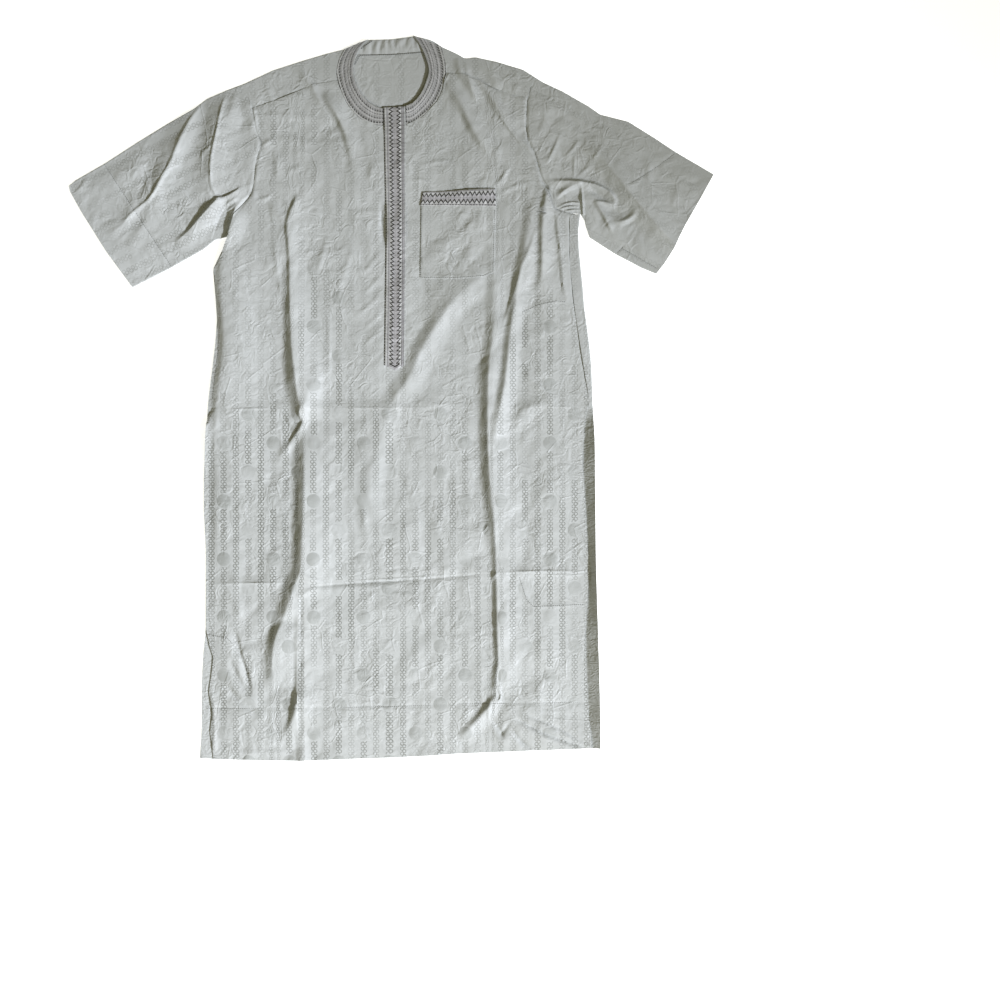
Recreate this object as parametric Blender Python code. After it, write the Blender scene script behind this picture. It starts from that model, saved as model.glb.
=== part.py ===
"""Short-sleeved boubou tunic in damask cotton, laid flat on its back.

Metres, +Z up, +Y towards the neck. Tables are in millimetres. Each piece is a wall of cloth: a leaf is
a flat triangulated region with an underside and a top, and two leaves join round a fold.
"""
import math

import bmesh
import bpy
from mathutils import Vector
from mathutils.geometry import delaunay_2d_cdt

MM = 0.001
SEAM_GAP = 0.3
CLOTH = 1.2
COLLAR_CLOTH = 1.6
FOLD_BULGE = 0.4
PANEL_GRID = 34.0
BACK_GRID = 90.0
COLLAR_GRID = 12.0
FOLD_STEP = 20.0
FRONT_LIFT = 1.6
SLEEVE_LIFT = 1.0
POCKET_GAPE = 3.0
COLLAR_RISE = 1.6

# Outline of the body: x, y, going round with the cloth on the left.
LEFT_SHOULDER = [(-72, 531), (-100, 524), (-140, 512), (-180, 499), (-223, 479)]
LEFT_ARMHOLE_TOP = [(-223, 479), (-211, 441)]
LEFT_ARMHOLE = [(-211, 441), (-205, 405), (-197, 388), (-205, 365), (-208, 330), (-214, 308),
                (-238, 279), (-247, 247)]
LEFT_SIDE = [(-247, 247), (-260, 220), (-271, 197), (-267, 150), (-265, 120), (-268, 80), (-273, 40),
             (-278, 0), (-282, -60), (-285, -120), (-285, -170), (-282, -230), (-282, -350),
             (-286, -390), (-288, -430), (-288, -500), (-291, -546)]
HEM = [(-291, -546), (-250, -548), (-200, -549), (-140, -550), (-60, -547), (0, -545), (60, -542),
       (100, -539), (200, -535), (260, -532), (317, -530)]
RIGHT_SLIT = [(317, -530), (316, -450), (313, -350), (310, -250), (309, -150), (308, -60), (306, -14)]
RIGHT_SIDE = [(306, -14), (304, 50), (301, 80), (293, 140), (291, 166), (288, 196), (285, 226),
              (284, 255), (287, 281)]
RIGHT_ARMHOLE = [(287, 281), (265, 283), (247, 290), (239, 319), (228, 331), (218, 374), (208, 387),
                 (204, 422), (207, 458)]
RIGHT_ARMHOLE_TOP = [(207, 458), (211, 474), (219, 488)]
RIGHT_SHOULDER = [(219, 488), (200, 500), (160, 512), (128, 519), (112, 517), (100, 524), (76, 535)]
BACK_NECK = [(76, 535), (62, 530), (49, 527), (0, 523), (-46, 522), (-60, 526), (-72, 531)]

# Seams that lie on the front: x, y.
LEFT_YOKE = [(-211, 441), (-175, 453), (-150, 463), (-117, 477), (-82, 484)]
LEFT_NECK_TOP = [(-82, 484), (-84, 496), (-81, 512), (-72, 531)]
LEFT_NECK = [(-22, 415), (-50, 427), (-68, 448), (-79, 474), (-82, 484)]
FRONT_NECK = [(23, 416), (-22, 415)]
RIGHT_NECK = [(83, 494), (78, 470), (70, 452), (49, 429), (23, 416)]
RIGHT_NECK_TOP = [(76, 535), (82, 510), (83, 494)]
RIGHT_YOKE = [(83, 494), (110, 492), (140, 479), (165, 468), (185, 461), (207, 458)]
RIGHT_SEAM = [(299, -11), (299, 7), (291, 54), (282, 112), (277, 147), (271, 203), (271, 279)]

# Free edges of the front, just inside the back's: x, y.
FRONT_LEFT_EDGE = [(-247, 247), (-258, 220), (-269, 197), (-265, 150), (-263, 120), (-266, 80),
                   (-271, 40), (-276, 0), (-280, -60), (-283, -120), (-283, -170), (-280, -230),
                   (-280, -350), (-275, -378), (-270, -392), (-272, -410), (-277, -445), (-272, -480),
                   (-275, -505), (-270, -547)]
FRONT_HEM = [(-270, -547), (-200, -548), (-140, -549), (-60, -546), (0, -544), (60, -541), (100, -538),
             (200, -534), (303, -530)]
FRONT_RIGHT_EDGE = [(303, -530), (299, -495), (296, -430), (294, -370), (297, -320), (302, -264),
                    (298, -240), (294, -160), (290, -110), (291, -75), (293, -40), (299, -11)]
RIGHT_TOP_EDGE = [(271, 279), (287, 281)]
RIGHT_SIDE_END = [(299, -11), (306, -14)]

# Sleeves: x, y.
LEFT_SLEEVE_TOP = [(-223, 479), (-250, 469), (-280, 456), (-300, 441), (-340, 418), (-384, 391),
                   (-435, 358), (-480, 332), (-489.5, 324)]
LEFT_CUFF = [(-489.5, 324), (-488, 315), (-470, 283), (-434, 226), (-393, 169)]
LEFT_UNDERSIDE = [(-393, 169), (-338, 197), (-285, 227), (-268, 241), (-247, 247)]
RIGHT_UNDERSIDE = [(287, 281), (293, 271), (295, 262), (301, 245), (340, 220), (380, 199), (402, 190)]
RIGHT_CUFF = [(402, 190), (414, 205), (428, 227), (441, 255), (469, 304), (489.5, 341)]
RIGHT_SLEEVE_TOP = [(489.5, 341), (430, 376), (400, 396), (360, 421), (317, 432), (300, 444), (260, 467),
                    (230, 481), (219, 488)]

# Collar: the fold lines at its two sides, and its free edges: x, y.
COLLAR_LEFT_FOLD = [(-35, 545), (-48, 541), (-60, 536), (-72, 531)]
COLLAR_RIGHT_FOLD = [(76, 535), (64, 543), (50, 547), (33, 550.5)]
COLLAR_BACK_EDGE = [(33, 550.5), (15, 548), (0, 546), (-35, 545)]
COLLAR_LEFT_EDGE = [(-12.8, 441), (-25, 445), (-42, 459), (-51, 474), (-57.5, 496), (-56, 510),
                    (-46, 534), (-35, 545)]
COLLAR_RIGHT_EDGE = [(33, 550.5), (42, 538), (52, 517), (56.5, 499), (52, 480), (40, 457), (30, 448),
                     (22.6, 445)]
COLLAR_LEFT_END = [(-22, 415), (-12.8, 415.3), (-12.8, 441)]
COLLAR_RIGHT_END = [(22.6, 445), (22.6, 416.2)]

# Pieces that lie on the front, and the slit under the placket with its gap: x, y.
PLACKET = [(-12.3, 442), (-10, 350), (-8.4, 257), (-9.6, 150), (-10.8, 51), (5.9, 43), (21.1, 51),
           (22, 150), (22.4, 257), (22, 350), (21.8, 444)]
SLIT = [(-7, 420), (-7, 305), (-13, 298), (-19, 280), (-17, 260), (-12, 240), (-7, 228), (-7, 70),
        (-6.2, 70), (-6.2, 420)]
POCKET = [(48, 314), (44, 292), (42.6, 182), (100, 181), (140, 183), (152, 190), (157, 199), (158.8, 290),
          (157.8, 319), (100, 316)]

# Folds of the front. Each row: name, width on the lit side (left of travel), width on the shade side,
# and crest points x, y, height. The travel is down or to the left.
FRONT_FOLDS = [
    ("left_crease_high", 45, 9, [(-140, 312, 0), (-152, 285, 3), (-158, 262, 4), (-156, 200, 6),
                                 (-152, 120, 8), (-147, 40, 9), (-142, 5, 8), (-138, -20, 5),
                                 (-136, -60, 0)]),
    ("left_crease_low", 45, 10, [(-137, -40, 0), (-136, -80, 6), (-136, -160, 8), (-138, -240, 8),
                                 (-139, -262, 8), (-147, -280, 7), (-162, -325, 7), (-178, -380, 5),
                                 (-180, -430, 3), (-180, -455, 0)]),
    ("left_crease_hem", 30, 9, [(-141, -310, 0), (-140, -380, 3), (-140, -430, 6), (-145, -470, 6),
                                (-152, -492, 3), (-158, -510, 0)]),
    ("centre_diagonal", 40, 15, [(150, 175, 0), (128, 172, 2), (108, 160, 5), (88, 140, 7), (58, 95, 7),
                                 (30, 46, 5), (8, 12, 4), (-20, -30, 3), (-32, -90, 2), (-35, -150, 0)]),
    ("right_crease", 40, 11, [(160, 150, 0), (156, 100, 4), (150, 60, 7), (147, 20, 8), (148, -60, 9),
                              (150, -140, 9), (156, -210, 8), (159, -256, 6), (159, -340, 6),
                              (163, -400, 6), (158, -438, 5), (150, -462, 4), (120, -492, 3),
                              (104, -518, 0)]),
    ("right_side_fold", 22, 12, [(212, 300, 0), (207, 240, 4), (201, 200, 6), (193, 160, 6),
                                 (185, 120, 6), (177, 80, 6), (171, 40, 6), (168, 5, 5), (159, -40, 3),
                                 (156, -70, 0)]),
    ("armhole_fold", 20, 8, [(233, 318, 0), (230, 290, 5), (228, 260, 6), (228, 225, 5), (224, 195, 3),
                             (222, 165, 0)]),
    ("shoulder_fold", 20, 9, [(104, 486, 0), (106, 472, 4), (112, 452, 5), (128, 422, 5), (141, 400, 4),
                              (150, 380, 3), (157, 358, 0)]),
    ("left_shoulder_crease", 18, 7, [(-112, 464, 0), (-100, 445, 3), (-80, 418, 4), (-66, 392, 3),
                                     (-60, 360, 2), (-58, 330, 0)]),
    ("across_middle", 20, 16, [(290, -12, 0), (250, -12, 2), (100, -13, 2), (-90, -14, 2),
                               (-250, -16, 2), (-275, -20, 0)]),
    ("across_low_right", 18, 14, [(292, -262, 0), (270, -262, 2), (180, -261, 2), (160, -262, 0)]),
    ("across_low_centre", 10, 10, [(140, -266, 0), (100, -268, -1.2), (0, -275, -1.2), (-90, -279, -1.2),
                                   (-125, -280, 0)]),
    ("across_low_left", 18, 14, [(-160, -279, 0), (-180, -279, 2), (-260, -280, 2), (-278, -280, 0)]),
    ("hem_right", 14, 10, [(165, -470, 0), (190, -482, 3), (230, -500, 3), (270, -514, 2),
                           (290, -520, 0)]),
    ("hem_left", 12, 8, [(-236, -345, 0), (-229, -375, 3), (-221, -405, 4), (-214, -436, 3),
                         (-205, -460, 0)]),
]

LEFT_SLEEVE_FOLDS = [
    ("main", 40, 10, [(-288, 444, 0), (-300, 430, 3), (-311, 412, 6), (-325, 378, 8), (-333, 355, 8),
                      (-350, 328, 8), (-363, 303, 8), (-380, 290, 7), (-394, 278, 5), (-412, 258, 2),
                      (-425, 245, 0)]),
    ("shoulder", 30, 10, [(-250, 462, 0), (-256, 443, 4), (-262, 405, 5), (-265, 383, 6),
                          (-271, 360, 6), (-272, 325, 6), (-265, 306, 4), (-258, 298, 0)]),
    ("underarm", 25, 14, [(-226, 318, 0), (-245, 310, 4), (-262, 300, 6), (-280, 285, 6),
                          (-300, 268, 5), (-318, 248, 3), (-330, 235, 0)]),
]

RIGHT_SLEEVE_FOLDS = [
    ("top_step", 45, 14, [(226, 471, 0), (240, 463, 3), (262, 449, 5), (278, 437, 5), (300, 429, 4),
                          (325, 422, 2), (345, 414, 0)]),
    ("long_step", 45, 22, [(285, 396, 0), (300, 380, 2), (318, 362, 4), (330, 348, 7), (350, 318, 8),
                           (365, 299, 8), (400, 262, 8), (415, 247, 6), (428, 234, 4)]),
    ("underarm", 14, 12, [(242, 326, 0), (262, 327, 4), (285, 328, 5), (305, 326, 5), (325, 316, 5),
                          (334, 304, 4), (338, 292, 0)]),
    ("elbow", 12, 10, [(308, 298, 0), (314, 288, 4), (324, 272, 4), (336, 256, 0)]),
]

# Materials: sRGB colour, roughness.
DAMASK = ("#b6bbb4", 0.62)
EMBROIDERY = ("#8f8c90", 0.75)


def linear_colour(code):
    """Linear RGBA of an sRGB hex code."""
    channels = [int(code[i:i + 2], 16) / 255.0 for i in (1, 3, 5)]
    return [c / 12.92 if c <= 0.04045 else ((c + 0.055) / 1.055) ** 2.4 for c in channels] + [1.0]


def material(name, finish):
    """A Principled material from a colour code and a roughness."""
    made = bpy.data.materials.new(name)
    made.use_nodes = True
    shader = made.node_tree.nodes["Principled BSDF"]
    shader.inputs["Base Color"].default_value = linear_colour(finish[0])
    shader.inputs["Roughness"].default_value = finish[1]
    shader.inputs["Metallic"].default_value = 0.0
    return made


def ring_of(*lines):
    """Join lines end to end into a closed ring, and give the ring's indices along each line."""
    ring = []
    spans = []
    for line in lines:
        spans.append([len(ring) + k for k in range(len(line))])
        ring.extend(line[:-1])
    return ring, [[k % len(ring) for k in span] for span in spans]


def inset(ring, amounts):
    """Move each edge of a ring inwards by its amount; corners stay where the moved edges meet."""
    count = len(ring)
    normals = []
    for k, (x, y) in enumerate(ring):
        dx = ring[(k + 1) % count][0] - x
        dy = ring[(k + 1) % count][1] - y
        length = math.hypot(dx, dy)
        normals.append((-dy / length, dx / length))
    moved = []
    for k, (x, y) in enumerate(ring):
        n1, n2 = normals[k - 1], normals[k]
        a, b = amounts[k - 1], amounts[k]
        det = n1[0] * n2[1] - n1[1] * n2[0]
        if abs(det) > 0.3:
            vx = (a * n2[1] - b * n1[1]) / det
            vy = (n1[0] * b - n2[0] * a) / det
        else:
            vx = (n1[0] + n2[0]) / 2 * (a + b) / 2
            vy = (n1[1] + n2[1]) / 2 * (a + b) / 2
        moved.append((x + vx, y + vy))
    return moved


def divide(line, step):
    """Add points to a line of x, y or x, y, height so that none lie further apart than step."""
    out = [line[0]]
    for a, b in zip(line, line[1:]):
        parts = max(1, math.ceil(math.hypot(b[0] - a[0], b[1] - a[1]) / step))
        for k in range(1, parts + 1):
            out.append(tuple(p + (q - p) * k / parts for p, q in zip(a, b)))
    return out


def inside(ring, x, y):
    """True where x, y lies in the ring."""
    hit = False
    for (x1, y1), (x2, y2) in zip(ring, ring[1:] + ring[:1]):
        if (y1 > y) != (y2 > y) and x < x1 + (y - y1) / (y2 - y1) * (x2 - x1):
            hit = not hit
    return hit


def gap_to(ring, x, y):
    """Distance from x, y to the nearest edge of the ring."""
    best = 1e9
    for (x1, y1), (x2, y2) in zip(ring, ring[1:] + ring[:1]):
        dx, dy = x2 - x1, y2 - y1
        t = ((x - x1) * dx + (y - y1) * dy) / (dx * dx + dy * dy)
        t = min(1.0, max(0.0, t))
        best = min(best, math.hypot(x - x1 - t * dx, y - y1 - t * dy))
    return best


def fold_height(fold, x, y):
    """Height of one fold at x, y: the crest's height times a half cosine on either side."""
    _, lit, shade, crest = fold
    near = (1e9, 0.0, 0.0)
    for (x1, y1, h1), (x2, y2, h2) in zip(crest, crest[1:]):
        dx, dy = x2 - x1, y2 - y1
        length = math.hypot(dx, dy)
        t = min(1.0, max(0.0, ((x - x1) * dx + (y - y1) * dy) / length ** 2))
        away = math.hypot(x - x1 - t * dx, y - y1 - t * dy)
        if away < near[0]:
            side = (dx * (y - y1) - dy * (x - x1)) / length
            near = (away, side, h1 + (h2 - h1) * t)
    away, side, height = near
    share = min(1.0, away / (lit if side > 0 else shade))
    return height * 0.5 * (1.0 + math.cos(math.pi * share))


def ease(value, low, high):
    """0 at low and 1 at high, smooth between."""
    t = min(1.0, max(0.0, (value - low) / (high - low)))
    return t * t * (3.0 - 2.0 * t)


def front_lift(x, y):
    """Air under the front: none at its edges, most over its middle."""
    across = ease(x, -284, -225) * ease(-x, -288, -225)
    return FRONT_LIFT * across * ease(y, -546, -480) * ease(-y, -400, -330)


def front_height(x, y):
    """Height of the front's underside over the back."""
    return max(0.0, front_lift(x, y) + sum(fold_height(fold, x, y) for fold in FRONT_FOLDS))


def sleeve_height(folds, ring):
    """Height of a sleeve's upper leaf over its lower one, as a function of x and y."""
    def height(x, y):
        lift = SLEEVE_LIFT * ease(gap_to(ring, x, y), 0, 40)
        return lift + sum(fold_height(fold, x, y) for fold in folds)
    return height


def slope_factor(height, x, y):
    """How much taller a wall is, measured straight up, where its surface slopes."""
    dx = (height(x + 1, y) - height(x - 1, y)) / 2
    dy = (height(x, y + 1) - height(x, y - 1)) / 2
    return min(1.8, math.sqrt(1 + dx * dx + dy * dy))


def level(_x, _y):
    """A leaf that lies flat."""
    return 0.0


def fold_points(folds, rings):
    """Rows of points along the folds, kept clear of the rings' edges, and their crest lines."""
    dots = []
    lines = []
    for _, lit, shade, crest in folds:
        stations = divide(crest, FOLD_STEP)
        for share, width in ((0.0, lit), (0.4, lit), (0.85, lit), (-0.5, shade), (-1.0, shade)):
            run = []
            for k, (x, y, _) in enumerate(stations):
                x1, y1, _ = stations[max(0, k - 1)]
                x2, y2, _ = stations[min(len(stations) - 1, k + 1)]
                length = math.hypot(x2 - x1, y2 - y1)
                px = x - (y2 - y1) / length * share * width
                py = y + (x2 - x1) / length * share * width
                clear = all(gap_to(ring, px, py) > 4.0 for ring in rings)
                apart = all(math.hypot(px - qx, py - qy) > 4.0 for qx, qy in dots)
                if clear and apart and inside(rings[0], px, py):
                    dots.append((px, py))
                    run.append((px, py))
                else:
                    lines.append(run)
                    run = []
            lines.append(run if share in (0.0, -1.0) else [])
    return dots, [line for line in lines if len(line) > 1]


def grid_points(rings, dots, step):
    """Staggered rows of points inside the first ring, clear of the edges and of the dots."""
    xs = [x for x, _ in rings[0]]
    ys = [y for _, y in rings[0]]
    out = []
    row = 0
    y = min(ys) + step / 2
    while y < max(ys):
        x = min(xs) + (step / 2 if row % 2 else 0.0)
        while x < max(xs):
            clear = all(gap_to(ring, x, y) > step * 0.3 for ring in rings)
            if clear and inside(rings[0], x, y) and all(math.hypot(x - u, y - v) > step * 0.45 for u, v in dots):
                out.append((x, y))
            x += step
        y += step * 0.87
        row += 1
    return out


def triangulate(rings, lines, dots):
    """Triangles over rings, lines and dots; also the vertex index of each ring's points."""
    points = []
    edges = []
    starts = []
    for ring in rings:
        starts.append(len(points))
        edges += [(len(points) + k, len(points) + (k + 1) % len(ring)) for k in range(len(ring))]
        points += ring
    for line in lines:
        edges += [(len(points) + k, len(points) + k + 1) for k in range(len(line) - 1)]
        points += line
    points += dots
    found = delaunay_2d_cdt([Vector(p) for p in points], edges, [], 0, 1e-3)
    place = {}
    for new, olds in enumerate(found[3]):
        for old in olds:
            place[old] = new
    ids = [[place[start + k] for k in range(len(ring))] for start, ring in zip(starts, rings)]
    return [tuple(v) for v in found[0]], [tuple(f) for f in found[2]], ids


def keep_inside(points, triangles, ring, holes=()):
    """The triangles whose middle lies in the ring and in none of the holes."""
    kept = []
    for tri in triangles:
        x = sum(points[k][0] for k in tri) / 3
        y = sum(points[k][1] for k in tri) / 3
        if inside(ring, x, y) and not any(inside(hole, x, y) for hole in holes):
            kept.append(tri)
    return kept


def make_leaf(ring, folds_on_ring, floor, height, wall, grid, folds=(), outer="top"):
    """One leaf of cloth: its triangles, ring indices and how its inner side is drawn in at folds."""
    ring = inset(ring, [SEAM_GAP / 2] * len(ring))
    dots, lines = fold_points(folds, [ring])
    dots = dots + grid_points([ring], dots, grid)
    points, triangles, ids = triangulate([ring], lines, dots)
    triangles = keep_inside(points, triangles, ring)
    amounts = [0.0] * len(ring)
    for span in folds_on_ring:
        for k in span[:-1]:
            amounts[k] = wall
    drawn_in = dict(zip(ids[0], inset(ring, amounts)))
    return {"points": points, "triangles": triangles, "ring": ids[0], "drawn_in": drawn_in,
            "floor": floor, "height": height, "wall": wall, "outer": outer}


def leaf_vertices(leaf, vertices):
    """Append a leaf's underside and top vertices; give both index maps."""
    used = sorted({k for tri in leaf["triangles"] for k in tri})
    maps = {}
    for side in ("under", "top"):
        maps[side] = {}
        for k in used:
            x, y = leaf["points"][k]
            if side != leaf["outer"]:
                x, y = leaf["drawn_in"].get(k, (x, y))
            z = leaf["floor"] + leaf["height"](x, y)
            if side == "top":
                z += leaf["wall"] * slope_factor(leaf["height"], x, y)
            maps[side][k] = len(vertices)
            vertices.append((x, y, z))
    return maps


def cloth(name, leaves, joins, surface):
    """A closed wall of cloth. joins has lower leaf, its span, upper leaf, its span, for each fold."""
    vertices = []
    faces = []
    maps = [leaf_vertices(leaf, vertices) for leaf in leaves]
    joined = set()
    for low, low_span, up, up_span in joins:
        low_ids = [leaves[low]["ring"][k] for k in low_span]
        up_ids = [leaves[up]["ring"][k] for k in up_span]
        outer_low = [maps[low]["under"][k] for k in low_ids]
        inner_low = [maps[low]["top"][k] for k in low_ids]
        inner_up = [maps[up]["under"][k] for k in up_ids]
        outer_up = [maps[up]["top"][k] for k in up_ids]
        middle = []
        last = len(low_ids) - 1
        for k, (a, b, c) in enumerate(zip(outer_low, outer_up, inner_low)):
            edge = (Vector(vertices[a]) + Vector(vertices[b])) / 2
            away = Vector(vertices[a][:2]) - Vector(vertices[c][:2])
            away = away.normalized() * (FOLD_BULGE if 0 < k < last else 0.0)
            middle.append(len(vertices))
            vertices.append((edge.x + away.x, edge.y + away.y, edge.z))
        for k in range(len(low_ids) - 1):
            faces.append((outer_low[k], outer_low[k + 1], middle[k + 1], middle[k]))
            faces.append((middle[k], middle[k + 1], outer_up[k + 1], outer_up[k]))
            faces.append((inner_low[k + 1], inner_low[k], inner_up[k], inner_up[k + 1]))
            joined.add((low, frozenset(low_ids[k:k + 2])))
            joined.add((up, frozenset(up_ids[k:k + 2])))
        for k in (0, -1):
            faces.append((outer_low[k], middle[k], inner_low[k]))
            faces.append((inner_low[k], middle[k], inner_up[k]))
            faces.append((inner_up[k], middle[k], outer_up[k]))
    for index, leaf in enumerate(leaves):
        under, top = maps[index]["under"], maps[index]["top"]
        sides = {}
        for tri in leaf["triangles"]:
            faces.append(tuple(top[k] for k in tri))
            faces.append(tuple(under[k] for k in reversed(tri)))
            for a, b in zip(tri, tri[1:] + tri[:1]):
                sides.setdefault(frozenset((a, b)), []).append((a, b))
        for key, uses in sides.items():
            if len(uses) == 1 and (index, key) not in joined:
                a, b = uses[0]
                faces.append((under[a], under[b], top[b], top[a]))
    return solid(name, vertices, faces, surface)


def solid(name, vertices, faces, surface):
    """An object from millimetre vertices, with every face a triangle that looks outwards."""
    mesh = bpy.data.meshes.new(name)
    mesh.from_pydata([tuple(c * MM for c in v) for v in vertices], [], faces)
    work = bmesh.new()
    work.from_mesh(mesh)
    bmesh.ops.triangulate(work, faces=work.faces[:])
    bmesh.ops.recalc_face_normals(work, faces=work.faces[:])
    work.to_mesh(mesh)
    work.free()
    mesh.materials.append(surface)
    made = bpy.data.objects.new(name, mesh)
    bpy.context.scene.collection.objects.link(made)
    return made


def top_of_front(x, y):
    """Height of the front's top over its own floor."""
    return front_height(x, y) + CLOTH * slope_factor(front_height, x, y)


def over_front(extra):
    """Height of a piece that lies on the front: the front's top, a gap, and something extra."""
    def height(x, y):
        return top_of_front(x, y) + SEAM_GAP * slope_factor(front_height, x, y) + extra(x, y)
    return height


def pocket_gape(x, y):
    """How far the pocket's mouth stands open, most at its middle and towards the side."""
    along = max(0.0, math.sin(math.pi * ease(x, 55, 165)))
    return POCKET_GAPE * along * ease(y, 285, 320)


def collar_rise(edge):
    """Height of a collar arm: it rises towards its free edge."""
    def height(x, y):
        near = min(math.hypot(x - u, y - v) for u, v in divide(edge, 4.0))
        return COLLAR_RISE * (1.0 - ease(near, 0, 22)) * ease(-y, -540, -515)
    return height


def build_back(surface):
    """The back panel with the flaps that wrap over the shoulders and round the right side."""
    upper = CLOTH + SEAM_GAP
    ring, spans = ring_of(LEFT_SHOULDER, LEFT_ARMHOLE_TOP, LEFT_ARMHOLE, LEFT_SIDE, HEM, RIGHT_SLIT,
                          RIGHT_SIDE, RIGHT_ARMHOLE, RIGHT_ARMHOLE_TOP, RIGHT_SHOULDER, BACK_NECK)
    left, right, side = spans[0], spans[9], spans[6]
    leaves = [make_leaf(ring, [left, right, side], 0.0, level, CLOTH, BACK_GRID, outer="under")]
    joins = []
    flaps = (
        (left, (LEFT_SHOULDER, LEFT_ARMHOLE_TOP, LEFT_YOKE, LEFT_NECK_TOP), 0),
        (right, (RIGHT_NECK_TOP, RIGHT_YOKE, RIGHT_ARMHOLE_TOP, RIGHT_SHOULDER), 3),
        (side, (RIGHT_SIDE_END, RIGHT_SIDE, RIGHT_TOP_EDGE[::-1], RIGHT_SEAM[::-1]), 1),
    )
    for span, lines, fold in flaps:
        ring, flap_spans = ring_of(*lines)
        joins.append((0, span, len(leaves), flap_spans[fold]))
        leaves.append(make_leaf(ring, [flap_spans[fold]], upper, level, CLOTH, PANEL_GRID))
    return cloth("back", leaves, joins, surface)


def build_front(surface, trim):
    """The front panel, and from its own points the placket and the chest pocket."""
    ring, _ = ring_of(LEFT_ARMHOLE, FRONT_LEFT_EDGE, FRONT_HEM, FRONT_RIGHT_EDGE, RIGHT_SEAM,
                      RIGHT_TOP_EDGE, RIGHT_ARMHOLE, RIGHT_YOKE[::-1], RIGHT_NECK, FRONT_NECK, LEFT_NECK,
                      LEFT_YOKE[::-1])
    ring = inset(ring, [SEAM_GAP / 2] * len(ring))
    rings = [ring, PLACKET, POCKET, SLIT]
    dots, lines = fold_points(FRONT_FOLDS, rings)
    dots = dots + grid_points(rings, dots, PANEL_GRID)
    points, triangles, _ = triangulate(rings, lines, dots)
    floor = CLOTH + SEAM_GAP
    pieces = (
        ("front", ring, [SLIT], front_height, surface),
        ("placket", PLACKET, [], over_front(level), trim),
        ("chest_pocket", POCKET, [], over_front(pocket_gape), surface),
    )
    for name, edge, holes, height, finish in pieces:
        leaf = {"points": points, "triangles": keep_inside(points, triangles, edge, holes), "ring": [],
                "drawn_in": {}, "floor": floor, "height": height, "wall": CLOTH, "outer": "top"}
        cloth(name, [leaf], [], finish)


def build_sleeve(name, lines, folds_at, folds, surface):
    """A flattened sleeve: two leaves of one outline, folded at the top and at the underside."""
    ring, spans = ring_of(*lines)
    edges = [spans[k] for k in folds_at]
    upper = make_leaf(ring, edges, CLOTH + SEAM_GAP, sleeve_height(folds, ring), CLOTH, PANEL_GRID, folds)
    lower = make_leaf(ring, edges, 0.0, level, CLOTH, BACK_GRID, outer="under")
    return cloth(name, [lower, upper], [(0, span, 1, span) for span in edges], surface)


def build_collar(surface):
    """The collar: its back part on the floor, and its two arms folded forward over it."""
    upper = COLLAR_CLOTH + SEAM_GAP
    back_ring, back = ring_of(BACK_NECK[::-1], COLLAR_RIGHT_FOLD, COLLAR_BACK_EDGE, COLLAR_LEFT_FOLD)
    left_ring, left = ring_of(COLLAR_LEFT_FOLD, LEFT_NECK_TOP[::-1], LEFT_NECK[::-1], COLLAR_LEFT_END,
                              COLLAR_LEFT_EDGE)
    right_ring, right = ring_of(COLLAR_RIGHT_FOLD, COLLAR_RIGHT_EDGE, COLLAR_RIGHT_END,
                                RIGHT_NECK[::-1], RIGHT_NECK_TOP[::-1])
    leaves = [
        make_leaf(back_ring, [back[1], back[3]], 0.0, level, COLLAR_CLOTH, COLLAR_GRID, outer="under"),
        make_leaf(left_ring, [left[0]], upper, collar_rise(COLLAR_LEFT_EDGE), COLLAR_CLOTH, COLLAR_GRID),
        make_leaf(right_ring, [right[0]], upper, collar_rise(COLLAR_RIGHT_EDGE), COLLAR_CLOTH, COLLAR_GRID),
    ]
    joins = [(0, back[3], 1, left[0]), (0, back[1], 2, right[0])]
    return cloth("collar", leaves, joins, surface)


for old in list(bpy.data.objects):
    bpy.data.objects.remove(old, do_unlink=True)

damask = material("damask_cotton", DAMASK)
embroidery = material("embroidered_cotton", EMBROIDERY)
build_back(damask)
build_front(damask, embroidery)
build_sleeve("sleeve_left", (LEFT_SLEEVE_TOP, LEFT_CUFF, LEFT_UNDERSIDE, LEFT_ARMHOLE[::-1],
                             LEFT_ARMHOLE_TOP[::-1]), (0, 2), LEFT_SLEEVE_FOLDS, damask)
build_sleeve("sleeve_right", (RIGHT_ARMHOLE_TOP[::-1], RIGHT_ARMHOLE[::-1], RIGHT_UNDERSIDE, RIGHT_CUFF,
                              RIGHT_SLEEVE_TOP), (2, 4), RIGHT_SLEEVE_FOLDS, damask)
build_collar(embroidery)
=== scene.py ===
"""Short-sleeved boubou tunic of damask cotton, laid flat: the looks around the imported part.

Lengths in the tables are millimetres, x to the right and y towards the neck; meshes are in metres.
"""

import bpy
import numpy as np
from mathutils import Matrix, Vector


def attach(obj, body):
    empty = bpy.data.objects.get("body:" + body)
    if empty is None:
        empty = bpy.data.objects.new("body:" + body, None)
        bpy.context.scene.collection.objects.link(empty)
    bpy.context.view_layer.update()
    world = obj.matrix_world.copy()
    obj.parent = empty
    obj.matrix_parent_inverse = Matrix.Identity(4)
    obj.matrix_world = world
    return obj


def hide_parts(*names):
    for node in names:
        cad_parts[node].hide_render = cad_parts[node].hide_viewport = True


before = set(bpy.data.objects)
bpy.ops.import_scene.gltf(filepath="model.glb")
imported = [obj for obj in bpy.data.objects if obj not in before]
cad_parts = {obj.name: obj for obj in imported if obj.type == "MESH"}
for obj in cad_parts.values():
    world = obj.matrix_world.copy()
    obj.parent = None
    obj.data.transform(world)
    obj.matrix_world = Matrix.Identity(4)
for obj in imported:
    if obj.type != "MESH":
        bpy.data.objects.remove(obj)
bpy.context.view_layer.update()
MM = 0.001
# Faces that meet at more than this angle, in radians, keep a sharp edge between them.
SHARP_ANGLE = 1.2

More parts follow.
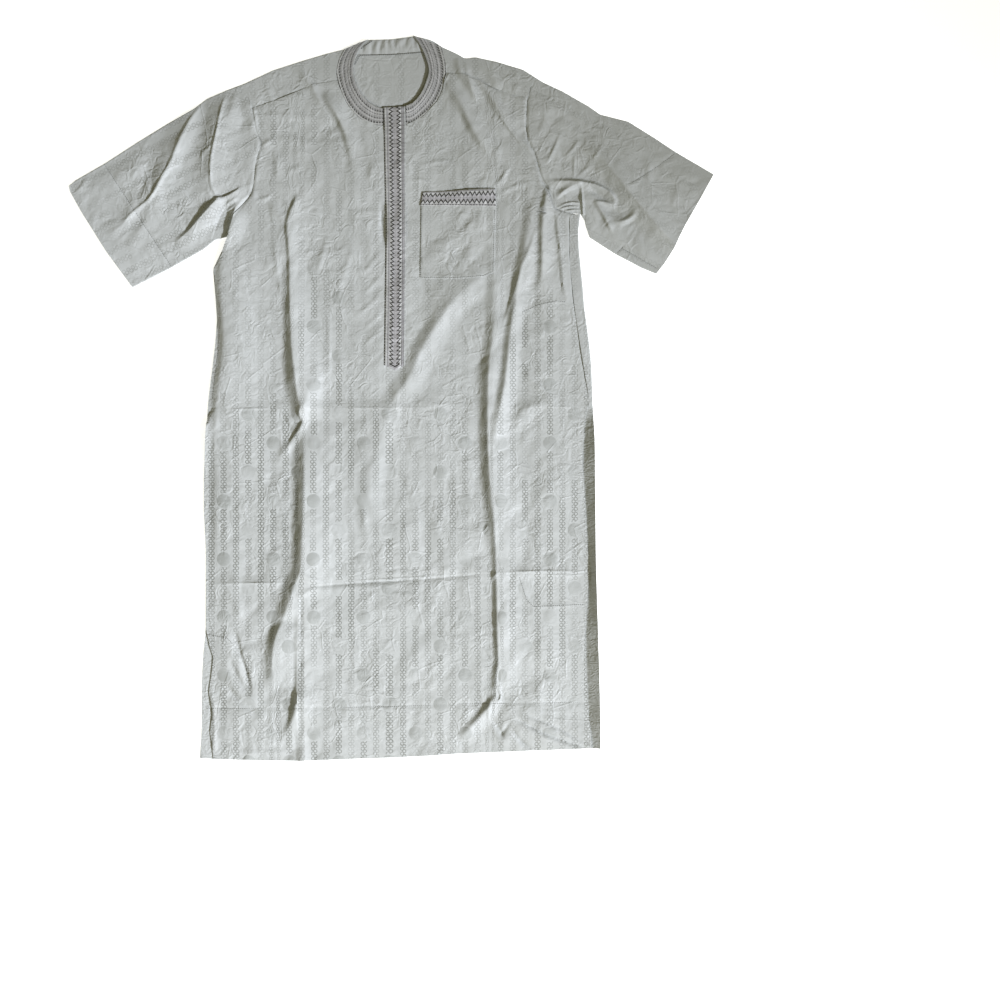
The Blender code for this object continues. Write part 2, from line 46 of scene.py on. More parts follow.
# ---------------------------------------------------------------------------------------------------
# The table it lies on, the light and the camera. A light table gives the plain white ground. A spot lamp
# low to the right and below, aimed at the lower left, gives each fold a bright and a dark side; the room
# and a weak warm window fill the shade.
FLOOR_DROP = 0.4
FLOOR_REACH = 6000.0
FLOOR_WHITE = "#fbfbfa"
FLOOR_GLOW = 0.8
CAMERA_PLACE = (0.1649, -0.1535, 2.1111)
LENS = 50.0
SENSOR_WIDE = 36.0
LAMP_AIM = (-0.45, -0.38, 0.0)
LAMP_FROM = (0.70, -0.395, 0.595)
LAMP_AWAY = 12.0
LAMP_RADIUS = 0.5
LAMP_BEAM = 0.26
LAMP_WATTS = 9470.0
LAMP_COLOUR = (0.869, 0.898, 1.0)
ROOM_COLOUR = (0.155, 0.142, 0.075)
WINDOW_PLACE = (0.30, -1.35, 1.50)
WINDOW_SIZE = 1.2
WINDOW_WATTS = 10.0
WINDOW_COLOUR = (1.0, 0.97, 0.86)


def linear(code):
    """Linear colour of an sRGB hex code: c/12.92 up to 0.04045, else ((c + 0.055)/1.055)^2.4."""
    c = np.array([int(code[i:i + 2], 16) for i in (1, 3, 5)]) / 255
    return [*np.where(c <= 0.04045, c / 12.92, ((c + 0.055) / 1.055) ** 2.4).tolist(), 1.0]


class Finish:
    """A material, its node tree and its Principled shader, with a short word for each kind of node."""
    PATCHY_LIMITS = (0.38, 0.62)

    def __init__(self, name):
        self.made = bpy.data.materials.new(name)
        self.made.use_nodes = True
        self.tree = self.made.node_tree
        self.shader = self.tree.nodes["Principled BSDF"]

    def fill(self, socket, value):
        """Give an input a value, or join it to another node's output."""
        if isinstance(value, bpy.types.NodeSocket):
            self.tree.links.new(value, socket)
        else:
            socket.default_value = value

    def put(self, kind, *values, named=None, out=0, **settings):
        """Add a node: its settings, then its inputs in order or by name."""
        node = self.tree.nodes.new(kind)
        for key, value in settings.items():
            setattr(node, key, value)
        for key, value in [*enumerate(values), *(named or {}).items()]:
            self.fill(node.inputs[key], value)
        return node.outputs[out]

    def shade(self, values):
        """Fill the shader's inputs by name."""
        for name, value in values.items():
            self.fill(self.shader.inputs[name], value)

    def do(self, operation, *values):
        """One step of arithmetic."""
        return self.put("ShaderNodeMath", *values, operation=operation)

    def vector(self, operation, *values, out=0):
        """One step of arithmetic on vectors."""
        return self.put("ShaderNodeVectorMath", *values, operation=operation, out=out)

    def parts(self, vector):
        """The three numbers of a vector."""
        return self.put("ShaderNodeSeparateXYZ", vector).node.outputs[:3]

    def place(self):
        """Where a point lies on the cloth in mm, from its uv: as a vector, then x and y alone."""
        in_mm = self.vector("MULTIPLY", self.put("ShaderNodeUVMap", uv_map="cloth"), (1 / MM, 1 / MM, 0.0))
        x, y, _ = self.parts(in_mm)
        return in_mm, x, y

    def apart(self, value, shift, period):
        """How far the shifted value is from the nearest whole number of periods."""
        return self.do("PINGPONG", self.do("ADD", value, shift), period / 2)

    def length(self, x, y):
        """The length of a step of x and y: the root of the sum of their squares."""
        return self.vector("LENGTH", self.put("ShaderNodeCombineXYZ", x, y), out="Value")

    def cloud(self, where, scale, detail=1.0, out=0, **more):
        """Soft noise between 0 and 1."""
        inputs = {"Vector": where, "Scale": scale, "Detail": detail, **more}
        return self.put("ShaderNodeTexNoise", named=inputs, out=out)

    def patchy(self, where, scale, detail, least):
        """Noise that is the least in some places and 1 in others, with short changes between them."""
        return self.spread(self.cloud(where, scale, detail), *self.PATCHY_LIMITS, least, 1.0)

    def spread(self, value, *limits):
        """A value from between two limits, taken to between two others, or to between 0 and 1."""
        return self.put("ShaderNodeMapRange", value, *limits)

    def mix(self, share, first, second):
        """The first colour, turned into the second by a share."""
        return self.put("ShaderNodeMix", named={0: share, 6: first, 7: second}, out=2, data_type="RGBA")

    def raise_by(self, height, strength=1.0):
        """Relief too small to model, from its height in mm."""
        inputs = {"Strength": strength, "Distance": MM, "Height": height}
        self.shade({"Normal": self.put("ShaderNodeBump", named=inputs)})


def mesh_object(name, points, faces, finish):
    """An object at the origin from points in millimetres, smooth, with sharp edges kept."""
    mesh = bpy.data.meshes.new(name)
    mesh.from_pydata((np.asarray(points, float).reshape(-1, 3) * MM).tolist(), [], faces)
    mesh.materials.append(finish.made)
    mesh.polygons.foreach_set("use_smooth", np.ones(len(mesh.polygons), bool))
    mesh.set_sharp_from_angle(angle=SHARP_ANGLE)
    made = bpy.data.objects.new(name, mesh)
    bpy.context.scene.collection.objects.link(made)
    return made


def light(name, kind, place, back_along, watts, colour, **settings):
    """A light at a place, which shines the opposite way to the direction given."""
    made = bpy.data.objects.new(name, bpy.data.lights.new(name, kind))
    for key, value in {"energy": watts, "color": colour, **settings}.items():
        setattr(made.data, key, value)
    made.location = place
    made.rotation_euler = Vector(back_along).to_track_quat("Z", "Y").to_euler()
    bpy.context.scene.collection.objects.link(made)


# Light table: matt white acrylic, lit a little from below, so that no shadow is left round the cloth.
acrylic = Finish("white_acrylic")
acrylic.shade({"Base Color": linear(FLOOR_WHITE), "Roughness": 0.9, "Specular IOR Level": 0.1,
               "Emission Color": linear(FLOOR_WHITE), "Emission Strength": FLOOR_GLOW})
corners = [(x, y, -FLOOR_DROP) for x, y in ((-FLOOR_REACH, -FLOOR_REACH), (FLOOR_REACH, -FLOOR_REACH),
                                            (FLOOR_REACH, FLOOR_REACH), (-FLOOR_REACH, FLOOR_REACH))]
floor = mesh_object("floor", corners, [(0, 1, 2, 3)], acrylic)

room = bpy.data.worlds.new("room")
room.use_nodes = True
room.node_tree.nodes["Background"].inputs["Color"].default_value = (*ROOM_COLOUR, 1.0)
bpy.context.scene.world = room
light("lamp", "SPOT", Vector(LAMP_AIM) + LAMP_AWAY * Vector(LAMP_FROM), LAMP_FROM, LAMP_WATTS, LAMP_COLOUR,
      shadow_soft_size=LAMP_RADIUS, spot_size=LAMP_BEAM, spot_blend=1.0)
light("window", "AREA", WINDOW_PLACE, WINDOW_PLACE, WINDOW_WATTS, WINDOW_COLOUR, size=WINDOW_SIZE)

camera = bpy.data.objects.new("camera", bpy.data.cameras.new("camera"))
camera.data.lens = LENS
camera.data.sensor_width = SENSOR_WIDE
camera.location = CAMERA_PLACE
bpy.context.scene.collection.objects.link(camera)
bpy.context.scene.camera = camera
bpy.context.scene.view_settings.view_transform = "Standard"

# ---------------------------------------------------------------------------------------------------
# Damask cotton (bazin): a warp-faced and weft-faced weave of one yarn colour, starched and beaten to a
# sheen. Columns of small rings run along the grain with round spots between them; the figure shows
# only as another gloss and a slightly deeper grey. Thread is drawn coarser than real, so that it shows.
COLUMN_PITCH = 18.8
COLUMN_AT = -23.0
RING_SIDE = 1.7
RING_STEP = 7.5
RING_RADIUS = 2.45
RING_STROKE = 0.62
RING_SUNK = 0.10
SPOT_RADIUS = 10.5
SPOT_SOFT = 0.6
SPOT_CLEAR = 2.0
SPOT_DOME = 0.75
SPOT_STEP = 88.0
SPOT_PHASE = (21.0, 65.0)
THREAD = 1.1
THREAD_LONG = 2.5
THREAD_HIGH = 0.10
# Creases too fine to model: the size and height of each kind of crinkle, then the cells whose sides are
# straight hair creases, and the small ladder of gathers that a row of stitches draws up.
CRINKLES = [(16.0, 3.38), (6.5, 0.78)]
CREASE_CELL = 44.0
CREASE_WIDE = 1.7
CREASE_HIGH = 0.39
LADDER_STEP = 6.5
LADDER_SLOPE = 0.14
LADDER_WANDER = 26.0
# How a part fades from place to place: the least share that is left of it, the size in mm of the patches,
# and the noise between which hair creases fade in. Then how fast other noise changes per mm: from column
# to column and along them, in the ground's colour, and where it bends the creases and the ladder.
RING_LEAST, SPOT_LEAST, CRINKLE_LEAST = 0.30, 0.25, 0.35
SPOT_PATCH, CRINKLE_PATCH, HAIR_PATCH = 50, 70, 55
HAIR_LIMITS = (0.47, 0.56)
COLUMN_CHANGE, GRAIN_CHANGE = 0.31, 0.008
GROUND_CHANGE, BEND_CHANGE, LADDER_CHANGE = 0.009, 0.03, 0.09
CREASE_BEND = 6.0
DAMASK_GROUND = ("#b1b4b2", "#c1c4c3")
DAMASK_RING = "#878984"
DAMASK_SPOT = "#a3a6a3"
GROUND_ROUGH, FIGURE_ROUGH = 0.44, 0.62

damask = Finish("damask_cotton")
in_mm, across, along_grain = damask.place()
# The state of the cloth: how strongly the figure is painted, its change from place to place being painted
# sheen; how drawn it is by stitching, how crisp its crinkle.
shows, drawn, crisp = damask.parts(damask.put("ShaderNodeAttribute", attribute_name="state", out="Vector"))
rings = []
for side in (-1, 1):
    ring_away = damask.length(damask.apart(across, -COLUMN_AT - side * RING_SIDE, COLUMN_PITCH),
                              damask.apart(along_grain, side * RING_STEP / 4, RING_STEP))
    rings.append(damask.do("COMPARE", ring_away, RING_RADIUS, RING_STROKE))
spots = []
for side, phase in zip((1, -1), SPOT_PHASE):
    spots.append(damask.length(damask.apart(across, -COLUMN_AT + side * COLUMN_PITCH, 4 * COLUMN_PITCH),
                               damask.apart(along_grain, -phase, SPOT_STEP)))
spot_away = damask.do("MINIMUM", *spots)
spot_mask = damask.spread(spot_away, SPOT_RADIUS + SPOT_SOFT, SPOT_RADIUS - SPOT_SOFT)
ring_mask = damask.do("MULTIPLY", damask.do("MAXIMUM", *rings),
                      damask.do("GREATER_THAN", spot_away, SPOT_RADIUS + SPOT_CLEAR))
column = damask.do("SNAP", damask.do("ADD", across, COLUMN_PITCH / 2 - COLUMN_AT), COLUMN_PITCH)
by_column = damask.put("ShaderNodeCombineXYZ", damask.do("MULTIPLY", column, COLUMN_CHANGE),
                       damask.do("MULTIPLY", along_grain, GRAIN_CHANGE))
ring_shows = damask.do("MULTIPLY", shows, damask.patchy(by_column, 1.0, 2.0, RING_LEAST))
ring_share = damask.do("MULTIPLY", ring_shows, ring_mask)
spot_shows = damask.do("MULTIPLY", damask.spread(shows, 0.4, 1.0),
                       damask.patchy(in_mm, 1 / SPOT_PATCH, 0.0, SPOT_LEAST))
spot_share = damask.do("MULTIPLY", spot_mask, spot_shows)
colour = damask.mix(damask.cloud(in_mm, GROUND_CHANGE, 3.0), *map(linear, DAMASK_GROUND))
colour = damask.mix(spot_share, colour, linear(DAMASK_SPOT))
colour = damask.mix(ring_share, colour, linear(DAMASK_RING))
rough = damask.spread(damask.do("MAXIMUM", ring_share, spot_share), 0.0, 1.0, GROUND_ROUGH, FIGURE_ROUGH)
damask.shade({"Base Color": colour, "Roughness": rough, "Specular IOR Level": 0.22, "Sheen Weight": 0.06,
              "Sheen Roughness": 0.4})

weave = damask.cloud(damask.vector("MULTIPLY", in_mm, (1 / THREAD, 1 / THREAD / THREAD_LONG, 1.0)), 1.0)
height = damask.do("MULTIPLY", weave, THREAD_HIGH)
height = damask.do("MULTIPLY_ADD", ring_share, -RING_SUNK, height)
dome = damask.do("MULTIPLY", spot_away, spot_away)
dome = damask.do("MULTIPLY_ADD", dome, -SPOT_DOME / SPOT_RADIUS ** 2, SPOT_DOME)
height = damask.do("MULTIPLY_ADD", damask.do("MAXIMUM", dome, 0.0), spot_shows, height)
rough_patch = damask.patchy(in_mm, 1 / CRINKLE_PATCH, 1.0, CRINKLE_LEAST)
for size, depth in CRINKLES:
    crinkle = damask.do("ADD", damask.cloud(in_mm, 1 / size, 1.5, Distortion=0.9), -0.5)
    crinkle = damask.do("MULTIPLY", damask.do("ABSOLUTE", crinkle), rough_patch)
    height = damask.do("MULTIPLY_ADD", damask.do("MULTIPLY", crinkle, crisp), depth, height)
bent = damask.vector("MULTIPLY", damask.cloud(in_mm, BEND_CHANGE, out="Color"),
                     (CREASE_BEND, CREASE_BEND, 0.0))
hair = damask.put("ShaderNodeTexVoronoi", feature="DISTANCE_TO_EDGE",
                  named={"Vector": damask.vector("ADD", in_mm, bent), "Scale": 1 / CREASE_CELL})
hair = damask.spread(hair, 0.0, CREASE_WIDE / CREASE_CELL, 1.0, 0.0)
hair = damask.do("MULTIPLY", hair, damask.spread(damask.cloud(in_mm, 1 / HAIR_PATCH), *HAIR_LIMITS))
height = damask.do("MULTIPLY_ADD", damask.do("MULTIPLY", hair, crisp), CREASE_HIGH, height)
ladder = damask.do("MULTIPLY_ADD", damask.cloud(in_mm, LADDER_CHANGE), LADDER_WANDER, along_grain)
ladder = damask.do("MULTIPLY", damask.do("PINGPONG", ladder, LADDER_STEP / 2), drawn)
damask.raise_by(damask.do("MULTIPLY_ADD", ladder, LADDER_SLOPE, height))

# ---------------------------------------------------------------------------------------------------
# Back: one panel that lies flat under everything. It runs over both shoulders to the forward seams and
# round the right side to its seam, so a flap of it shows at each; the rest shows at the slits and neck.
CLOTH = 1.2
# From the table to the underside of the cloth that lies on the back, and half way up through both.
LAYER = 1.5
MIDDLE = (LAYER + CLOTH) / 2
# How far cloth is turned in under a folded edge, and how far from the edge it starts to bend down.
TURN_IN = 12.0
FOLD_ROUND = 2.6
LEFT_SHOULDER = [(-72, 531), (-100, 524), (-140, 512), (-180, 499), (-223, 479)]
LEFT_ARMHOLE = [(-211, 441), (-205, 405), (-197, 388), (-205, 365), (-208, 330), (-214, 308), (-238, 279),
                (-247, 247)]
LEFT_SIDE = [(-247, 247), (-260, 220), (-271, 197), (-267, 150), (-265, 120), (-268, 80), (-273, 40),
             (-278, 0), (-282, -60), (-285, -120), (-285, -170), (-282, -230), (-282, -350), (-286, -390),
             (-288, -430), (-288, -500), (-291, -546)]
HEM = [(-291, -546), (-250, -548), (-200, -549), (-140, -550), (-60, -547), (0, -545), (60, -542),
       (100, -539), (200, -535), (260, -532), (317, -530)]
RIGHT_SLIT = [(317, -530), (316, -450), (313, -350), (310, -250), (309, -150), (308, -60), (306, -14)]
RIGHT_SIDE = [(306, -14), (304, 50), (301, 80), (293, 140), (291, 166), (288, 196), (285, 226), (284, 255),
              (287, 281)]
RIGHT_ARMHOLE = [(287, 281), (265, 283), (247, 290), (239, 319), (228, 331), (218, 374), (208, 387),
                 (204, 422), (207, 458)]
RIGHT_ARMHOLE_TOP = [(207, 458), (211, 474), (219, 488)]
RIGHT_SHOULDER = [(219, 488), (200, 500), (160, 512), (128, 519), (112, 517), (100, 524), (76, 535)]
BACK_NECK = [(76, 535), (62, 530), (49, 527), (0, 523), (-46, 522), (-60, 526), (-72, 531)]
LEFT_YOKE = [(-211, 441), (-175, 453), (-150, 463), (-117, 477), (-82, 484)]
LEFT_NECK_TOP = [(-82, 484), (-84, 496), (-81, 512), (-72, 531)]
RIGHT_NECK_TOP = [(76, 535), (82, 510), (83, 494)]
RIGHT_YOKE = [(83, 494), (110, 492), (140, 479), (165, 468), (185, 461), (207, 458)]
RIGHT_SEAM = [(299, -11), (299, 7), (291, 54), (282, 112), (277, 147), (271, 203), (271, 279)]


def along(line, share):
    """Points of a line at shares of its length, straight between its corners."""
    line = np.array(line, float)
    run = np.concatenate([[0], np.cumsum(np.hypot(*np.diff(line[:, :2], axis=0).T))])
    return np.stack([np.interp(np.asarray(share) * run[-1], run, c) for c in line.T], axis=-1)


def x_at(line, y):
    """The x of a rising line at each height y, straight between its points."""
    return np.interp(y, *np.array(line, float).T[::-1])


def spaced(low, high, gap, close=(), step=3):
    """Positions from low to high, gap apart, and nearer in each window (middle, reach, gap)."""
    t = np.linspace(low, high, 4001)
    per = np.full(t.size, 1 / gap)
    for middle, reach, near in close:
        per += (1 / near - 1 / gap) * np.exp(-((t - middle) / reach) ** 4)
    count = np.concatenate([[0], np.cumsum((per[1:] + per[:-1]) / 2 * np.diff(t))])
    number = step * max(1, round(count[-1] / step))
    return np.interp(np.linspace(0, count[-1], number + 1), count, t)


def patch(bottom, top, left, right, u, v):
    """A Coons patch: the blend of the four edge lines less the blend of their corners."""
    b, t = along(bottom, u)[None], along(top, u)[None]
    l, r = along(left, v)[:, None], along(right, v)[:, None]
    u, v = np.asarray(u)[None, :, None], np.asarray(v)[:, None, None]
    corners = (1 - v) * ((1 - u) * b[:, :1] + u * b[:, -1:]) + v * ((1 - u) * t[:, :1] + u * t[:, -1:])
    return (1 - v) * b + v * t + (1 - u) * l + u * r - corners


NOISE_CELLS = 61
NOISE_SHIFT = 200
# Starched cloth, crumpled: height, size in mm, stretch along the grain and softness of its facets.
CRUMPLES = [(3.1, 105, 0.75, 0.0006), (2.1, 47, 0.8, 0.0006), (1.1, 21, 1.0, 0.001)]
CRUMPLE_BEND, CRUMPLE_BEND_SIZE = 14, 70


def noise(x, y, size, seed):
    """Gradient noise: at each corner of a square of that size a random slope, joined by 6t5-15t4+10t3."""
    angle = np.random.default_rng(seed).uniform(0, 2 * np.pi, (NOISE_CELLS, NOISE_CELLS))
    gx, gy = x / size + NOISE_SHIFT, y / size + NOISE_SHIFT
    i, j = np.floor(gx).astype(int), np.floor(gy).astype(int)
    fx, fy = gx - i, gy - j
    sx, sy = [f ** 3 * (f * (6 * f - 15) + 10) for f in (fx, fy)]
    a, b, c, d = [np.cos(angle[(i + p) % NOISE_CELLS, (j + q) % NOISE_CELLS]) * (fx - p)
                  + np.sin(angle[(i + p) % NOISE_CELLS, (j + q) % NOISE_CELLS]) * (fy - q)
                  for p, q in ((0, 0), (1, 0), (0, 1), (1, 1))]
    return 1.5 * ((a + (b - a) * sx) * (1 - sy) + (c + (d - c) * sx) * sy)


def crumple(x, y, seed):
    """Creased starched cloth: flat facets that meet in soft creases, as a sum of heights times the root of
    a noise squared and its softness, in a plane that another noise bends."""
    wx = x + CRUMPLE_BEND * noise(x, y, CRUMPLE_BEND_SIZE, seed + 7)
    wy = y + CRUMPLE_BEND * noise(x, y, CRUMPLE_BEND_SIZE, seed + 8)
    return sum(height * np.sqrt(noise(wx, wy * stretch, size, seed + turn) ** 2 + soft)
               for turn, (height, size, stretch, soft) in enumerate(CRUMPLES))


def rounded(line):
    """The line with its corners cut twice at a quarter of each side, its ends kept."""
    line = np.array(line, float)
    for _ in range(2):
        a, b = line[:-1], line[1:]
        cut = np.stack([0.75 * a + 0.25 * b, 0.25 * a + 0.75 * b], axis=1).reshape(-1, line.shape[1])
        line = np.concatenate([line[:1], cut[1:-1], line[-1:]])
    return line


def ease(value, low, high):
    """0 at low and 1 at high, 3t2-2t3 between."""
    t = np.clip((value - low) / (high - low), 0, 1)
    return t * t * (3 - 2 * t)


def relief(x, y, folds):
    """Height of folds: over each crest line its height times a bell, (1 + cos(pi s))/2, turned towards a
    peak, (1 - s)^2, by sharpness; s is the distance over the width to the left or right of travel. A
    row is width to the left, width to the right, sharpness and crest, as points of x, y and height; a
    point with no height is at 0, and a groove has heights below 0."""
    total = np.zeros_like(x)
    for left, right, sharp, crest in folds:
        line = rounded([(*point, 0)[:3] for point in crest])
        reach = max(left, right)
        near = ((x > line[:, 0].min() - reach) & (x < line[:, 0].max() + reach)
                & (y > line[:, 1].min() - reach) & (y < line[:, 1].max() + reach))
        px, py = x[near], y[near]
        best, side, height = np.full(px.shape, 1e9), np.zeros(px.shape), np.zeros(px.shape)
        for (x1, y1, h1), (x2, y2, h2) in zip(line, line[1:]):
            dx, dy = x2 - x1, y2 - y1
            t = np.clip(((px - x1) * dx + (py - y1) * dy) / (dx * dx + dy * dy), 0, 1)
            away = np.hypot(px - x1 - t * dx, py - y1 - t * dy)
            closer = away < best
            best = np.where(closer, away, best)
            side = np.where(closer, dx * (py - y1) - dy * (px - x1), side)
            height = np.where(closer, h1 + (h2 - h1) * t, height)
        s = np.clip(best / np.where(side > 0, left, right), 0, 1)
        bell, peak = 0.5 + 0.5 * np.cos(np.pi * s), (1 - s) ** 2
        total[near] += height * (bell + (peak - bell) * sharp)
    return total


def lowest(z, step):
    """The least height of a grid within one step of every step-th point, both ways."""
    wide = np.pad(z, step, mode="edge")
    views = [wide[i:i + z.shape[0], j:j + z.shape[1]] for i in range(0, 2 * step + 1)
             for j in range(0, 2 * step + 1)]
    return np.minimum.reduce(views)[::step, ::step]


def wall(name, shells, finish, node=None, state=(0.4, 0.0, 1.0)):
    """Closed walls of cloth in one object. A shell is its outer grid (rows, columns, xyz), its inner grid
    at every step-th row and column, its uv grid in mm, the step and whether the last row is the first
    again. Rims join the two grids at the free edges, and all is turned to face outwards. The state is
    how strongly the damask's figure is painted, its change from place to place being painted sheen, how
    drawn the cloth is by stitching and how crisp its crinkle, as three numbers or a function of x and y."""
    points, faces, uvs, shown = [], [], [], []
    base = 0
    for outer, inner, uv, step, ring in shells:
        rows, cols = outer.shape[:2]
        big = np.arange(rows * cols).reshape(rows, cols)
        small = rows * cols + np.arange(inner.shape[0] * inner.shape[1]).reshape(inner.shape[:2])
        made = [np.stack([big[:-1, :-1], big[:-1, 1:], big[1:, 1:], big[1:, :-1]], -1).reshape(-1, 4)]
        made.append(np.stack([small[:-1, :-1], small[1:, :-1], small[1:, 1:], small[:-1, 1:]], -1)
                    .reshape(-1, 4))
        edges = [(big[::-1, 0], small[::-1, 0]), (big[:, -1], small[:, -1])]
        if not ring:
            edges += [(big[0], small[0]), (big[-1, ::-1], small[-1, ::-1])]
        for far, near in edges:
            span = np.arange(near.size - 1)[:, None] * step + np.arange(step + 1)[::-1]
            made.append(np.concatenate([far[span], near[:-1, None], near[1:, None]], axis=1))
        ids = np.arange(small[-1, -1] + 1)
        if ring:
            ids[big[-1]] = big[0]
            ids[small[-1]] = small[0]
        where = np.concatenate([outer.reshape(-1, 3), inner.reshape(-1, 3)])
        flat = np.concatenate([uv.reshape(-1, 2), uv[::step, ::step].reshape(-1, 2)])
        thirds = np.concatenate([where[ids[group[:, pick]]] for group in made[:2]
                                 for pick in ([0, 1, 2], [0, 2, 3])])
        volume = (thirds[:, 0] * np.cross(thirds[:, 1], thirds[:, 2])).sum()
        used, place = np.unique(ids, return_inverse=True)
        for group in made:
            group = group if volume > 0 else group[:, ::-1]
            faces += (place[group] + base).tolist()
            uvs.append(flat[group].reshape(-1, 2))
        points.append(where[used])
        base += used.size
    made = mesh_object(name, np.concatenate(points), faces, finish)
    layer = made.data.uv_layers.new(name="cloth")
    layer.uv.foreach_set("vector", (np.concatenate(uvs) * MM).astype(np.float32).ravel())
    where = np.concatenate(points)
    marks = state(where[:, 0], where[:, 1]) if callable(state) else np.tile(state, (len(where), 1))
    made.data.attributes.new("state", "FLOAT_VECTOR", "POINT").data.foreach_set(
        "vector", marks.astype(np.float32).ravel())
    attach(made, "root")
    if node:
        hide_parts(node)
    return made


def leaf(xy, z, uv, floor, step=3, thick=CLOTH):
    """A shell from a grid of x, y and its face's heights; its other face is a wall lower, never under
    the floor height given."""
    inner = np.maximum(lowest(z, step) - thick, floor)
    return (np.dstack([xy, z]), np.dstack([xy[::step, ::step], inner]), uv, step, False)


# Creases of the two yokes, which are the back's flaps over the shoulders.
YOKE_CREASES = [
    (6, 14, 0.6, [(-146, 508, 1), (-138, 500, 3), (-129, 488, 3.4), (-121, 476, 3.4)]),
    (8, 6, 0.5, [(-196, 480), (-188, 466, 2), (-180, 454, 1.5)]),
    (6, 5, 0.5, [(-208, 462), (-202, 453, 1.5), (-197, 448)]),
    (12, 10, 0.3, [(102, 512, 3), (104, 500, 4), (106, 490, 4)]),
    (9, 6, 0.5, [(112, 512, 1), (114, 500, 3), (117, 488, 3)]),
    (12, 12, 0.3, [(136, 512, 1), (152, 496, 2.6), (160, 478, 2.6)]),
    (6, 5, 0.6, [(206, 488), (184, 488, 2), (162, 484)]),
    (6, 5, 0.6, [(206, 480), (190, 474, 2), (184, 464)]),
]


def flap(seam, fold, end_a, end_b, gap_u, gap_v, seed):
    """A flap that comes from under the fold line, round it and up to the seam. Across it v goes from 0
    at the seam to 1 at the fold, then back under by TURN_IN; near the fold the face is half an ellipse."""
    long = np.hypot(*np.diff(np.array(fold, float), axis=0).T).sum()
    wide = np.hypot(*(along(seam, 0.5) - along(fold, 0.5)))
    u = np.linspace(0, 1, 3 * max(2, round(long / gap_u / 3)) + 1)
    d = np.concatenate([spaced(0, wide, gap_v, [(wide, 4, 0.7)]), wide + np.array([1.0, 3.0, TURN_IN])])
    v = np.where(d <= wide, d, 2 * wide - d) / wide
    xy = patch(seam, fold, end_a, end_b, u, v)
    inside = np.minimum(np.abs(wide - d) / FOLD_ROUND, 1)[:, None] * np.ones(u.size)
    bulge = np.sqrt(1 - (1 - inside) ** 2)
    rise = 0.5 * crumple(xy[..., 0], xy[..., 1], seed) + relief(xy[..., 0], xy[..., 1], YOKE_CREASES)
    top = LAYER + CLOTH + rise * np.clip(1.3 - 1.3 * v, 0, 1)[:, None]
    over = (d <= wide)[:, None]
    z = np.where(over, MIDDLE + (top - MIDDLE) * bulge, MIDDLE - MIDDLE * bulge)
    inner = np.where(over, np.maximum(z - CLOTH, MIDDLE), np.minimum(z + CLOTH, MIDDLE))[::3, ::3]
    inner_xy = patch(seam, fold, end_a, end_b, u[::3], np.minimum(v[::3], 1 - CLOTH / wide))
    return np.dstack([xy, z]), np.dstack([inner_xy, inner]), xy, 3, False


# The back's strip that shows past the right slit curls up off the table, unevenly along its length.
STRIP_CURL = 12.5
FRONT_RIGHT_EDGE = [(303, -530), (299, -495), (296, -430), (294, -370), (297, -320), (302, -264),
                    (298, -240), (294, -160), (290, -110), (291, -75), (293, -40), (299, -11)]
# Creases of the back that show inside the neck.
NECK_CREASES = [
    (9, 6, 0.3, [(-50, 505), (-44, 480, 1.2), (-33, 462, 1.2), (-26, 448)]),
    (9, 6, 0.3, [(-30, 478), (-36, 466, 1.5), (-41, 452)]),
    (10, 7, 0.3, [(-8, 470), (-18, 455, 1.8), (-22, 446, 1.2)]),
    (9, 6, 0.3, [(14, 455), (6, 449, 1.2), (0, 445)]),
]


def back_state(x, y):
    """The back's figure and crinkle are fainter inside the neck, and the facing of its slits is plain and
    drawn in: a window of exp(-d^4) round the neck, and a step near each side."""
    neck = np.exp(-((x / 70) ** 4 + ((y - 485) / 55) ** 4))
    facing = ease(np.abs(x - 15), 268, 276) * ease(-y, -10, 20)
    return np.stack([0.4 - 0.1 * neck - 0.3 * facing, 0.7 * facing, 1 - 0.4 * neck], axis=-1)


inset_left = [(x + 1, y - TURN_IN) for x, y in LEFT_SHOULDER]
inset_right = [(x - 1, y - TURN_IN) for x, y in RIGHT_SHOULDER]
inset_side = [(306, -6)] + [(x - TURN_IN, max(y, -5)) for x, y in RIGHT_SIDE]
back_u, back_v = spaced(0, 1, 0.011, [(1, 0.035, 0.0035)]), spaced(0, 1, 0.006)
back_xy = patch(HEM, inset_left[::-1] + BACK_NECK[::-1] + inset_right[::-1],
                LEFT_SIDE[::-1] + LEFT_ARMHOLE[-2::-1] + inset_left[-1:],
                RIGHT_SLIT + inset_side + RIGHT_ARMHOLE[1:] + inset_right[:1], back_u, back_v)
bx, by = back_xy[..., 0], back_xy[..., 1]
neck_window = np.exp(-((bx / 60) ** 4 + ((by - 480) / 48) ** 4))
slit_edge, strip_edge = x_at(FRONT_RIGHT_EDGE, by), x_at(RIGHT_SLIT, by)
curl = STRIP_CURL * np.clip((bx - slit_edge) / (strip_edge - slit_edge), 0, 1) * ease(-by, 8, 60)
curl = curl * (1 + 0.25 * noise(by, by, 60, 33)) * (1 - 0.3 * ease(-by, 480, 535))
back_z = CLOTH + curl + neck_window * (0.3 * crumple(bx, by, 31) + relief(bx, by, NECK_CREASES))
back = wall("back_panel", [
    leaf(back_xy, back_z, back_xy, 0.0),
    flap(LEFT_YOKE[::-1], LEFT_SHOULDER, LEFT_NECK_TOP, LEFT_ARMHOLE[:1] + LEFT_SHOULDER[-1:], 3, 3, 41),
    flap(RIGHT_YOKE, RIGHT_SHOULDER[::-1], RIGHT_NECK_TOP[::-1], RIGHT_ARMHOLE_TOP, 3, 3, 42),
    flap(RIGHT_SEAM, RIGHT_SIDE, [RIGHT_SEAM[0], RIGHT_SIDE[0]], [RIGHT_SEAM[-1], RIGHT_SIDE[-1]], 5, 3, 43),
], damask, "back", back_state)

